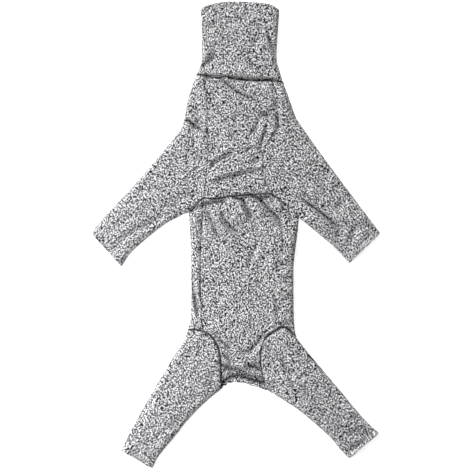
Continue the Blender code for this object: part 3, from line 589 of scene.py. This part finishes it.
def painted_shade_amount(points):
    """How much painted shade each point gets, from 0 on the open cloth to 1: in the ditch of a seam, at the bottom of a
    deep crease and under the belly's hem.
    """
    ditch = hem_shade(points)
    for fold, path in fold_paths:
        width = CREASE_CORE * fold.width * FOLD_SPREAD * MILLIMETRE
        close, gap, reached, _ = beside(points, path, 3 * width)
        strength = fade_ends(reached / reach_along(path)[-1])
        share = CREASE_SHADE * max(0.0, fold.valley - CREASE_DEPTH)
        ditch[close] = np.maximum(ditch[close], share * strength * np.exp(-(gap / width) ** 2))
    for seam, path in seam_paths:
        close, gap = beside(points, path, 3 * DITCH_SHADE_REACH)[:2]
        share = min(1.0, seam.depth / FULL_SHADE_DEPTH)
        ditch[close] = np.maximum(ditch[close], share * np.exp(-(gap / DITCH_SHADE_REACH) ** 2))
    return ditch


def unevenness(points):
    """A gentle swell of the cloth, from waves in seeded directions."""
    chance = np.random.default_rng(11)
    swell = np.zeros(len(points))
    for rise, length in UNEVEN:
        for _ in range(UNEVEN_WAVES):
            angle, phase = chance.uniform(0, 2 * math.pi, 2)
            stretch = chance.uniform(0.75, 1.3)
            way = np.array((math.cos(angle), math.sin(angle))) * 2 * math.pi / (length * stretch)
            swell += rise / math.sqrt(UNEVEN_WAVES) * np.sin(points @ way + phase)
    return swell * math.sqrt(2)


def upper_surface(points):
    """Places of the upper layer over plan points, with its heights."""
    to_mouth = nearest(points, mouths, 2 * MOUTH_REACH)
    loft = LOFT + (MOUTH_LOFT - LOFT) * np.exp(-(to_mouth / MOUTH_REACH) ** 2)
    relief, lean = fold_relief(points)
    loft = loft + relief + seam_relief(points) + unevenness(points)
    loft = loft + HEM_RISE / (1 + np.exp((to_mouth - HEM_WIDTH) / HEM_STEP))
    for row in STITCH_ROWS:
        loft = loft - STITCH_SINK * np.exp(-((to_mouth - row) / STITCH_WAY) ** 2)
    loft = LEAST_HEIGHT + SOFT_FLOOR * np.logaddexp(0, (loft - LEAST_HEIGHT) / SOFT_FLOOR)
    inside = 1 - nearest(points, folded_edges, FOLD_REACH) / FOLD_REACH
    heights = FOLD_HEIGHT + (loft - FOLD_HEIGHT) * np.sqrt(1 - inside ** 2)
    return np.column_stack((points + lean * (1 - inside)[:, None], heights))


def lower_height(points, edges):
    """Height of the lower layer, which turns up at the folded edges and curls at the hem under the tail."""
    inside = 1 - nearest(points, edges, FOLD_TUCK) / FOLD_TUCK
    to_hem = nearest(points, [back_hem], 3 * CURL_REACH)
    from_corners = np.minimum(np.linalg.norm(points - back_hem[0], axis=1), np.linalg.norm(points - back_hem[-1], axis=1))
    curl = CURL_HEIGHT * np.exp(-(to_hem / CURL_REACH) ** 2) * np.clip(from_corners / CURL_REACH, 0, 1) ** 2
    return FOLD_HEIGHT * (1 - np.sqrt(1 - inside ** 2)) + curl


# %% [markdown]
# ## Patches of cloth
#
# A Coons patch fills the space between four curves with a grid whose sides lie exactly on them, which is
# what a pattern piece between four seams needs. The rows are close together beside the sides, where a seam
# groove or a folded edge bends the cloth sharply, and even in the middle.

# %% Cut curves into cells and fill patches
CELL = 0.0018
EDGE_STEPS = (0.0004, 0.0009, 0.0015, 0.0023, 0.0034)


def cells_of(*curves):
    """How many even cells the longest of some curves takes."""
    return max(2, round(max(reach_along(curve)[-1] for curve in curves) / CELL))


def cut(curves, counts):
    """One side of a patch as points: one curve for each count, or a single curve for all of them."""
    counts = counts if len(curves) == len(counts) else [sum(counts)]
    rows = []
    for index, (curve, cells) in enumerate(zip(curves, counts)):
        travelled = reach_along(curve)
        first = [0.0, *EDGE_STEPS] if index == 0 else [0.0]
        last = [travelled[-1] - step for step in (0.0, *EDGE_STEPS)] if index == len(curves) - 1 else [travelled[-1]]
        stops = [*first, *np.linspace(first[-1], last[-1], cells + 1)[1:-1], *reversed(last)]
        rows.append(np.stack([np.interp(stops, travelled, curve[:, axis]) for axis in (0, 1)], axis=1))
    return chain(*rows)


def shares_of(points):
    """Share of the whole length at each point."""
    travelled = reach_along(points)
    return travelled / travelled[-1]


def fill(start, end, left, right, across, along):
    """A Coons patch: a grid of plan points between four sides, each a list of curves."""
    start, end = cut(start, across), cut(end, across)
    left, right = cut(left, along), cut(right, along)
    u = (shares_of(start) + shares_of(end))[:, None, None] / 2
    v = (shares_of(left) + shares_of(right))[None, :, None] / 2
    between_ends = (1 - v) * start[:, None] + v * end[:, None]
    between_sides = (1 - u) * left[None] + u * right[None]
    near = (1 - v) * left[0] + v * left[-1]
    far = (1 - v) * right[0] + v * right[-1]
    return between_ends + between_sides - ((1 - u) * near + u * far)


# %% Raise a patch to its layer
# each patch also carries how much painted shade its points get
Patch = namedtuple("Patch", "points gap ditch faces_up")


def upper(*sides):
    """A patch of the upper layer."""
    grid = fill(*sides)
    points = grid.reshape(-1, 2)
    surface = upper_surface(points).reshape(*grid.shape[:2], 3)
    return Patch(surface, seam_gap(points), painted_shade_amount(points), True)


def lower(edges, *sides):
    """A patch of the lower layer, turned up along the given folded edges."""
    grid = fill(*sides)
    heights = lower_height(grid.reshape(-1, 2), edges).reshape(grid.shape[:2])
    # painted shade under the belly's hem, on the back
    shade = hem_shade(grid.reshape(-1, 2))
    return Patch(np.dstack((grid, heights)), np.full(heights.size, SEAM_GAP), shade, False)


# %% [markdown]
# ## From patches to a piece of cloth
#
# The patches of one piece are welded where they meet, and the Solidify modifier gives the cloth its
# thickness. The texture coordinates are in metres along the cloth: the distance across and along in plan,
# plus the extra length where the surface climbs, turned so that the knit's columns run down each piece.
# The plan is stretched to the frame's own box here, which hardly moves it.

# %% Fit the plan to the frame
outline = np.vstack(folded_edges + mouths)
plan_low, plan_high = outline.min(axis=0), outline.max(axis=0)
FIT = SUIT_SIZE[:2] / (plan_high - plan_low)
PLAN_MIDDLE = (plan_low + plan_high) / 2
FRAME_MIDDLE = (np.array(SOLID_BOX[0]) + np.array(SOLID_BOX[1]))[:2] / 2
print("the plan is stretched by", np.round(FIT, 4))


def to_frame(points):
    """Plan points and heights moved into the frame."""
    placed = points.copy()
    placed[..., :2] = (points[..., :2] - PLAN_MIDDLE) * FIT + FRAME_MIDDLE
    return placed


# %% Texture coordinates along the cloth
def grain_uv(patch, down_cloth, offset):
    """For each point of a patch, its place on the cloth in metres, across and down the knit's columns."""
    across_cloth = np.array((-down_cloth[1], down_cloth[0]))
    plan = patch.points[..., :2]
    uv = np.stack((plan @ across_cloth, plan @ down_cloth), axis=-1)
    for axis in (0, 1):
        steps = np.diff(patch.points, axis=axis)
        climb = np.linalg.norm(steps, axis=2) - np.linalg.norm(steps[..., :2], axis=2)
        extra = np.insert(np.cumsum(climb, axis=axis), 0, 0.0, axis=axis)
        extra = extra - np.take(extra, [extra.shape[axis] // 2], axis=axis)
        way = np.take(uv[..., axis], -1, axis=axis).mean() - np.take(uv[..., axis], 0, axis=axis).mean()
        uv[..., axis] += extra * (1 if way > 0 else -1)
    return uv + offset


# %% Make the mesh of one piece
def ease_seams(mesh):
    """Draws every open edge of a piece back by half the gap at its seam."""
    gaps = mesh.verts.layers.float["gap"]
    moves = {}
    for edge in mesh.edges:
        if not edge.is_boundary:
            continue
        face = edge.link_faces[0]
        inward = face.normal.cross(edge.verts[1].co - edge.verts[0].co).normalized()
        if inward.dot(face.calc_center_median() - edge.verts[0].co) < 0:
            inward.negate()
        for vert in edge.verts:
            moves.setdefault(vert, []).append(inward)
    for vert, ways in moves.items():
        vert.co += sum(ways[1:], ways[0]).normalized() * vert[gaps] / 2


def make_piece(name, patches, down_cloth, offset):
    """One cut piece of cloth that stands for the frame's node of the same name."""
    verts, faces, uvs, gaps, painted_shades = [], [], [], [], []
    for patch in patches:
        across, along = patch.points.shape[:2]
        index = np.arange(across * along).reshape(across, along) + len(verts)
        verts.extend(to_frame(patch.points).reshape(-1, 3))
        uvs.extend(grain_uv(patch, down_cloth, offset).reshape(-1, 2))
        gaps.extend(patch.gap)
        painted_shades.extend(patch.ditch)
        quads = np.stack((index[:-1, :-1], index[1:, :-1], index[1:, 1:], index[:-1, 1:]), axis=-1).reshape(-1, 4)
        side_u = patch.points[-1, 0] - patch.points[0, 0]
        side_v = patch.points[0, -1] - patch.points[0, 0]
        turned = (side_u[0] * side_v[1] - side_u[1] * side_v[0] > 0) != patch.faces_up
        faces.extend((quads[:, ::-1] if turned else quads).tolist())
    data = bpy.data.meshes.new(name)
    data.from_pydata(verts, [], faces)
    # how much painted shade each point gets goes onto the mesh, for the knit's colour
    for key, values in (("gap", gaps), ("ditch", painted_shades)):
        data.attributes.new(key, "FLOAT", "POINT").data.foreach_set("value", values)
    layer = data.uv_layers.new(name="grain")
    corners = np.empty(len(data.loops), int)
    data.loops.foreach_get("vertex_index", corners)
    layer.data.foreach_set("uv", np.array(uvs)[corners].astype(np.float32).ravel())
    mesh = bmesh.new()
    mesh.from_mesh(data)
    bmesh.ops.remove_doubles(mesh, verts=mesh.verts, dist=0.00005)
    mesh.normal_update()
    ease_seams(mesh)
    area = sum(face.calc_area() for face in mesh.faces)
    mesh.to_mesh(data)
    mesh.free()
    data.shade_smooth()
    cloth = bpy.data.objects.new("knit_" + name, data)
    bpy.context.scene.collection.objects.link(cloth)
    wall = cloth.modifiers.new("thickness", "SOLIDIFY")
    wall.thickness = CLOTH
    wall.offset = -1
    print(name, len(data.polygons), "faces,", round(area * 10000, 1), "square centimetres")
    return cloth, area


# %% [markdown]
# ## The eight pieces
#
# Real suits are sewn from few pieces: a collar tube, a chest panel between the sleeves, a belly panel
# gathered into the waist seam, one long back that wraps round the sides, and four limb tubes.

# %% Patches of the collar and of the two panels
LEFT, RIGHT = SIDES["left"], SIDES["right"]


def collar_patches():
    """Both layers of the collar, from the neck seam to the top edge."""
    sides = ([neck_line], [collar_top], [collar_sides[0]], [collar_sides[1]],
             [cells_of(neck_line)], [cells_of(*collar_sides)])
    return [upper(*sides), lower(folded_edges, *sides)]


def panel_patches(starts, end, names):
    """A panel of the upper layer between two cross seams and a chain of runs on each side."""
    left, right = ([side[name] for name in names] for side in (LEFT, RIGHT))
    across = [cells_of(start) for start in starts]
    along = [cells_of(one, other) for one, other in zip(left, right)]
    return [upper(starts, [end], left, right, across, along)]


# %% Patches of the back, which wraps round to the upper layer at the sides
def back_patches():
    """The lower layer from neck to tail, then the two strips on each side that fold over."""
    lines = [neck_line] + [trace_across(name, ()) for name in ("shoulder", "armpit", "hip")] + [back_hem]
    names = (("fore_fold",), ("back_arm", "back_under"), ("side_fold",), ("back_leg",))
    across = [cells_of(*lines)]
    counts = {name: cells_of(LEFT[name], RIGHT[name]) for row in names for name in row}
    patches = []
    for start, end, row in zip(lines, lines[1:], names):
        left, right = ([side[name] for name in row] for side in (LEFT, RIGHT))
        patches.append(lower(body_edges, [start], [end], left, right, across, [counts[name] for name in row]))
    for side in (LEFT, RIGHT):
        patches.append(upper([side["neck"]], [side["arm_top"]], [side["fore_fold"]], [side["panel_side"]],
                             [cells_of(side["neck"], side["arm_top"])], [counts["fore_fold"]]))
        patches.append(upper([side["arm_under"][::-1]], [side["leg_top"]], [side["side_fold"]], [side["side_seam"]],
                             [cells_of(side["arm_under"], side["leg_top"])], [counts["side_fold"]]))
    return patches


# %% Patches of a sleeve or a leg
def limb_patches(name):
    """Both layers of a limb, from its seam to its cuff."""
    lines, side = limb_lines[name], SIDES[LIMBS[name].side]
    outer, inner, cuff = lines["outer"], lines["inner"], lines["cuff"]
    along = [cells_of(inner)]
    if LIMBS[name].top == "shoulder":
        under = side["arm_under"] if LIMBS[name].side == "left" else chain(waist_end, side["arm_under"])
        along = [cells_of(under), *along]
        upper_inner, lower_inner = [under, inner], [side["back_under"], inner]
        start = [side["arm_top"], side["arm_side"]]
        back = [side["back_arm"]]
    else:
        upper_inner = lower_inner = [inner]
        start = [side["leg_top"], side["leg_side"], side["leg_end"]]
        back = [side["back_leg"]]
    across = [cells_of(curve) for curve in start]
    return [upper(start, [cuff], [outer], upper_inner, across, along),
            lower(folded_edges, back, [cuff], [outer], lower_inner, across, along)]


# %% Make all the cloth
DOWN_BODY = np.array((0.0, -1.0))
patches = {
    "collar": collar_patches(),
    "chest_panel": panel_patches([neck_middle], waist_line, ("panel_side", "arm_side")),
    "belly_panel": panel_patches([waist_line, waist_end], belly_hem, ("side_seam", "leg_side")),
    "back_panel": back_patches(),
    **{name: limb_patches(name) for name in LIMBS},
}
cloths, areas = {}, {}
for count, (name, rows) in enumerate(patches.items()):
    down_cloth = limb_lines[name]["direction"] if name in LIMBS else DOWN_BODY
    cloths[name], areas[name] = make_piece(name, rows, down_cloth, 0.37 * count)
print("all the cloth is", round(sum(areas.values()), 4), "square metres")

# %% [markdown]
# ## The marled jersey
#
# The suit is brushed cotton and elastane jersey, knitted from a marl yarn that twists light and dark
# fibres together. The eye sees salt and pepper flecks, each about one stitch wide and two stitches long,
# leaning alternately left and right because a knit stitch has two legs. Cotton doesn't shine, so the
# roughness is high, and the brushed surface has a little sheen. A real stitch here is 0.8 mm wide, which is
# under a pixel, so the flecks are drawn twice that size to show at all.


# %% Two helpers for materials
def linear(code):
    """A colour as the shader wants it, from an sRGB hex value."""
    parts = [int(code[start:start + 2], 16) / 255 for start in (1, 3, 5)]
    return [part / 12.92 if part <= 0.04045 else ((part + 0.055) / 1.055) ** 2.4 for part in parts] + [1.0]


def add(tree, kind, settings=(), **inputs):
    """Adds a node, with its settings and with its inputs set to values or linked to sockets."""
    made = tree.nodes.new(kind)
    for key, value in dict(settings).items():
        setattr(made, key, value)
    for key, value in inputs.items():
        socket = made.inputs[int(key[1:])] if key[1:].isdigit() else made.inputs[key.replace("_", " ")]
        if isinstance(value, bpy.types.NodeSocket):
            tree.links.new(value, socket)
        else:
            socket.default_value = value
    return made


# %% The knit
STITCH_WIDTH = 0.0026
LEG_SLOPE = 0.8
FLECK_WIDTH = 0.00115
FLECK_LENGTH = 0.00140
FRAY = 0.0005
FLECK_NOISE = 0.76
BLOTCH = 0.014
# the share of the knit's colour that the painted shade takes away where it is fullest
DITCH_SHADE = 0.9
DARK_FIBRE = "#0e0d10"
MID_FIBRE = "#77767b"
PALE_FIBRE = "#fbfafd"


def marled_jersey():
    """Brushed jersey of light and dark marl yarn."""
    material = bpy.data.materials.new("brushed_marl_jersey")
    material.use_nodes = True
    tree = material.node_tree
    shader = tree.nodes["Principled BSDF"]
    shader.inputs["Roughness"].default_value = 0.92
    shader.inputs["IOR"].default_value = 1.5
    shader.inputs["Specular IOR Level"].default_value = 0.2
    shader.inputs["Sheen Weight"].default_value = 0.06
    shader.inputs["Sheen Roughness"].default_value = 0.5

    # place on the cloth, frayed a little, and split into columns of stitches whose two legs slope
    grain = add(tree, "ShaderNodeUVMap", {"uv_map": "grain"}).outputs["UV"]
    fibres = add(tree, "ShaderNodeTexNoise", {"noise_dimensions": "2D"}, Vector=grain, Scale=1 / FRAY, Detail=1.0)
    fray = add(tree, "ShaderNodeVectorMath", {"operation": "MULTIPLY_ADD"}, _0=fibres.outputs["Color"],
               _1=(FRAY, FRAY, 0.0), _2=grain)
    split = add(tree, "ShaderNodeSeparateXYZ", _0=fray.outputs[0])
    columns = add(tree, "ShaderNodeMath", {"operation": "DIVIDE"}, _0=split.outputs["X"], _1=STITCH_WIDTH)
    leg = add(tree, "ShaderNodeMath", {"operation": "PINGPONG"}, _0=columns.outputs[0], _1=0.5)
    slope = add(tree, "ShaderNodeMath", {"operation": "MULTIPLY"}, _0=leg.outputs[0], _1=LEG_SLOPE * STITCH_WIDTH)
    down = add(tree, "ShaderNodeMath", {"operation": "ADD"}, _0=split.outputs["Y"], _1=slope.outputs[0])
    legs = add(tree, "ShaderNodeCombineXYZ", _0=split.outputs["X"], _1=down.outputs[0])

    # flecks of dark and light fibre along the yarn
    flecks = add(tree, "ShaderNodeMapping", _0=legs.outputs[0], Scale=(1 / FLECK_WIDTH, 1 / FLECK_LENGTH, 1.0))
    cells = add(tree, "ShaderNodeTexVoronoi", {"voronoi_dimensions": "2D"}, Vector=flecks.outputs[0], Scale=1.0)
    shade = add(tree, "ShaderNodeTexNoise", {"noise_dimensions": "2D"}, Vector=flecks.outputs[0], Scale=FLECK_NOISE,
                Detail=0.0)
    blotches = add(tree, "ShaderNodeTexNoise", {"noise_dimensions": "2D"}, Vector=grain, Scale=1 / BLOTCH,
                   Detail=2.0, Roughness=0.5)
    blotch_share = add(tree, "ShaderNodeMath", {"operation": "MULTIPLY_ADD"}, _0=blotches.outputs[0], _1=0.06, _2=-0.03)
    chance = add(tree, "ShaderNodeSeparateXYZ", _0=cells.outputs["Color"])
    chance_share = add(tree, "ShaderNodeMath", {"operation": "MULTIPLY_ADD"}, _0=chance.outputs[0], _1=0.32, _2=-0.16)
    uneven = add(tree, "ShaderNodeMath", {"operation": "ADD"}, _0=chance_share.outputs[0], _1=blotch_share.outputs[0])
    marl = add(tree, "ShaderNodeMath", {"operation": "ADD"}, _0=shade.outputs[0], _1=uneven.outputs[0])
    ramp = add(tree, "ShaderNodeValToRGB", _0=marl.outputs[0])
    ramp.color_ramp.elements[0].position = 0.476
    ramp.color_ramp.elements[0].color = linear(DARK_FIBRE)
    ramp.color_ramp.elements[1].position = 0.576
    ramp.color_ramp.elements[1].color = linear(PALE_FIBRE)
    middle = ramp.color_ramp.elements.new(0.53)
    middle.color = linear(MID_FIBRE)

    # painted shade: the knit is drawn darker in seam ditches, where the turned-in edges shade each other more than this
    # mesh can, in deep creases and under the belly's hem
    ditch = add(tree, "ShaderNodeAttribute", {"attribute_name": "ditch"}).outputs["Fac"]
    open_share = add(tree, "ShaderNodeMath", {"operation": "MULTIPLY_ADD"}, _0=ditch, _1=-DITCH_SHADE, _2=1.0)
    knit = add(tree, "ShaderNodeVectorMath", {"operation": "SCALE"}, _0=ramp.outputs[0], Scale=open_share.outputs[0])
    tree.links.new(knit.outputs[0], shader.inputs["Base Color"])

    # each fleck of yarn stands up round, with fuzz over it
    rounded = add(tree, "ShaderNodeMath", {"operation": "MULTIPLY"}, _0=cells.outputs["Distance"], _1=-1.0)
    fuzz = add(tree, "ShaderNodeMath", {"operation": "ADD"}, _0=rounded.outputs[0], _1=fibres.outputs[0])
    bump = add(tree, "ShaderNodeBump", Height=fuzz.outputs[0], Distance=0.0003, Strength=0.5)
    tree.links.new(bump.outputs[0], shader.inputs["Normal"])
    return material


jersey = marled_jersey()
for cloth in cloths.values():
    cloth.data.materials.append(jersey)
print("one material on", len(cloths), "pieces")

# %% [markdown]
# ## Hem stitches
#
# Jersey is hemmed with a twin needle, which leaves two parallel rows of short stitches and stretches with
# the cloth. Each stitch is a short arched bit of thread that dips into the cloth at both ends.

# %% Rows of stitches beside the mouths
STITCH_LENGTH = 0.0030
STITCH_SPACE = 0.0008
THREAD_WIDTH = 0.00045
THREAD_SIDES = 6
THREAD_SECTIONS = 4


def inset(curve, distance, towards):
    """A curve moved sideways by a distance, to the side where a point lies."""
    tangent = np.gradient(curve, axis=0)
    normal = np.stack((-tangent[:, 1], tangent[:, 0]), axis=1)
    normal /= np.linalg.norm(normal, axis=1)[:, None]
    middle = len(curve) // 2
    side = np.sign(normal[middle] @ (towards - curve[middle]))
    return curve + side * distance * normal


def stitch_tube(start, end, top):
    """Points of one stitch: a six-sided bit of thread, arched between two places on the cloth."""
    way = (end - start) / np.linalg.norm(end - start)
    across = np.cross(way, (0, 0, 1))
    across /= np.linalg.norm(across)
    lift = np.cross(across, way)
    rings = []
    for share in np.linspace(0, 1, THREAD_SECTIONS + 1):
        arch = math.sin(math.pi * share)
        centre = start + share * (end - start) + lift * top * (arch - 0.5)
        radius = THREAD_WIDTH / 2 * (0.55 + 0.45 * arch)
        turns = np.linspace(0, 2 * math.pi, THREAD_SIDES, endpoint=False)
        rings.append([centre + radius * (math.cos(turn) * across + math.sin(turn) * lift) for turn in turns])
    return np.array(rings)


def thread_mesh(name, rows):
    """All the stitches of one piece's hems, as one mesh."""
    verts, faces = [], []
    for row in rows:
        travelled = reach_along(row)
        for begin in np.arange(STITCH_SPACE, travelled[-1] - STITCH_LENGTH, STITCH_LENGTH + STITCH_SPACE):
            spots = [np.array([np.interp(stop, travelled, row[:, axis]) for axis in range(3)])
                     for stop in (begin, begin + STITCH_LENGTH)]
            first = len(verts)
            verts.extend(stitch_tube(*spots, THREAD_WIDTH).reshape(-1, 3))
            for ring in range(THREAD_SECTIONS):
                for k in range(THREAD_SIDES):
                    a = first + ring * THREAD_SIDES + k
                    b = first + ring * THREAD_SIDES + (k + 1) % THREAD_SIDES
                    faces.append((a, b, b + THREAD_SIDES, a + THREAD_SIDES))
            last = first + THREAD_SECTIONS * THREAD_SIDES
            faces.append(tuple(range(first + THREAD_SIDES - 1, first - 1, -1)))
            faces.append(tuple(range(last, last + THREAD_SIDES)))
    data = bpy.data.meshes.new(name)
    data.from_pydata(verts, [], faces)
    data.shade_smooth()
    threads = bpy.data.objects.new(name, data)
    bpy.context.scene.collection.objects.link(threads)
    print(name, len(faces), "faces")
    return threads


def hem_rows(mouth, towards):
    """The stitch rows of the upper layer beside a mouth, on top of the cloth."""
    rows = []
    for distance in STITCH_ROWS:
        row = upper_surface(inset(mouth, distance, towards))
        rows.append(to_frame(row + (0.0, 0.0, THREAD_WIDTH / 4)))
    return rows


# %% Stitch every hem
HEM_POINTS = 120


def even(curve):
    """A curve cut into even steps, without its ends, which lie on folded edges."""
    travelled = reach_along(curve)
    stops = np.linspace(0.0015, travelled[-1] - 0.0015, HEM_POINTS)
    return np.stack([np.interp(stops, travelled, curve[:, axis]) for axis in (0, 1)], axis=1)


mouth_of = {"collar": (collar_top, collar_place(0, 0)), "belly_panel": (belly_hem, place(0, 2))}
for name, lines in limb_lines.items():
    mouth_of[name] = (lines["cuff"], lines["outer"][0])
threads = {name: thread_mesh("hem_thread_" + name, hem_rows(even(mouth), towards))
           for name, (mouth, towards) in mouth_of.items()}

# %% The thread
POLYESTER_THREAD = "#8d8d92"


def polyester_thread():
    """Spun polyester sewing thread, slightly brighter than cotton where it catches the light."""
    material = bpy.data.materials.new("spun_polyester_thread")
    material.use_nodes = True
    tree = material.node_tree
    shader = tree.nodes["Principled BSDF"]
    shader.inputs["Roughness"].default_value = 0.6
    shader.inputs["IOR"].default_value = 1.55
    twist = add(tree, "ShaderNodeTexCoord").outputs["Object"]
    fibres = add(tree, "ShaderNodeTexNoise", Vector=twist, Scale=2500.0, Detail=2.0)
    ramp = add(tree, "ShaderNodeValToRGB", _0=fibres.outputs[0])
    ramp.color_ramp.elements[0].color = linear("#4c4c50")
    ramp.color_ramp.elements[1].color = linear(POLYESTER_THREAD)
    tree.links.new(ramp.outputs[0], shader.inputs["Base Color"])
    return material


thread_material = polyester_thread()
for thread in threads.values():
    thread.data.materials.append(thread_material)

# %% [markdown]
# ## Hand the cloth to the frame
#
# Each piece rides on the suit's one body and stands for its solid.

# %% Ride and replace
Cut = namedtuple("Cut", "width length")
for name, cloth in cloths.items():
    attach(cloth, "root")
    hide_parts(name)
    hem = [threads[name]] if name in threads else []
    for thread in hem:
        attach(thread, "root")
print(len(cloths), "sheets declared")

# %% [markdown]
# ## Floor, light and camera
#
# The photo was taken from straight above on a white table, in soft light from the upper left that leaves
# hardly any shadow on the table. A large area light low on that side rakes over the folds, a weaker one
# opposite fills them, and a pale world lights the rest. The floor glows faintly, as a light table does.

# %% Floor
FLOOR_SIZE = 6.0


def make_floor():
    """A pale light table."""
    half = FLOOR_SIZE / 2
    data = bpy.data.meshes.new("floor")
    data.from_pydata([(-half, -half, 0), (half, -half, 0), (half, half, 0), (-half, half, 0)], [], [(0, 1, 2, 3)])
    material = bpy.data.materials.new("matt_white_light_table")
    material.use_nodes = True
    shader = material.node_tree.nodes["Principled BSDF"]
    shader.inputs["Base Color"].default_value = linear("#f6f6f6")
    shader.inputs["Roughness"].default_value = 0.9
    shader.inputs["Emission Color"].default_value = linear("#ffffff")
    shader.inputs["Emission Strength"].default_value = 0.8
    data.materials.append(material)
    floor = bpy.data.objects.new("floor", data)
    bpy.context.scene.collection.objects.link(floor)
    floor.location.z = -0.0002


make_floor()

# %% Lights
Lamp = namedtuple("Lamp", "azimuth height distance size watts")
LAMPS = {
    "key": Lamp(112.0, 29.0, 5.0, 0.8, 238.0),
    "left": Lamp(203.0, 42.0, 1.0, 0.4, 7.2),
    "right": Lamp(0.0, 30.0, 2.4, 0.7, 2.0),
    "bottom": Lamp(-90.0, 30.0, 2.4, 0.7, 1.5),
}
WORLD_LIGHT = 0.05


def aim(thing, azimuth, height, distance):
    """Puts a light at an angle round from +X and above the floor, facing the suit."""
    a, h = math.radians(azimuth), math.radians(height)
    thing.location = (distance * math.cos(a) * math.cos(h), distance * math.sin(a) * math.cos(h),
                      distance * math.sin(h))
    thing.rotation_euler = (math.pi / 2 - h, 0.0, a + math.pi / 2)


for name, lamp in LAMPS.items():
    data = bpy.data.lights.new(name, "AREA")
    data.shape = "DISK"
    data.size = lamp.size
    data.energy = lamp.watts
    light = bpy.data.objects.new(name, data)
    bpy.context.scene.collection.objects.link(light)
    aim(light, lamp.azimuth, lamp.height, lamp.distance)

world = bpy.data.worlds.new("studio")
world.use_nodes = True
world.node_tree.nodes["Background"].inputs["Color"].default_value = linear("#ffffff")
world.node_tree.nodes["Background"].inputs["Strength"].default_value = WORLD_LIGHT
bpy.context.scene.world = world
bpy.context.scene.view_settings.view_transform = "Standard"

# %% Camera
PHOTO_WIDTH = 470
PIXEL = 0.0013
LENS = 100.0
SENSOR = 36.0
# the middle of the photo, from the middle of the suit
LOOK_AT = (-0.0007, 0.0, 0.006)

camera_data = bpy.data.cameras.new("camera")
camera_data.lens = LENS
camera_data.sensor_width = SENSOR
camera = bpy.data.objects.new("camera", camera_data)
bpy.context.scene.collection.objects.link(camera)
camera.location = (LOOK_AT[0], LOOK_AT[1], LOOK_AT[2] + PHOTO_WIDTH * PIXEL * LENS / SENSOR)
bpy.context.scene.camera = camera
print("the camera is", round(camera.location.z, 3), "m above the floor")
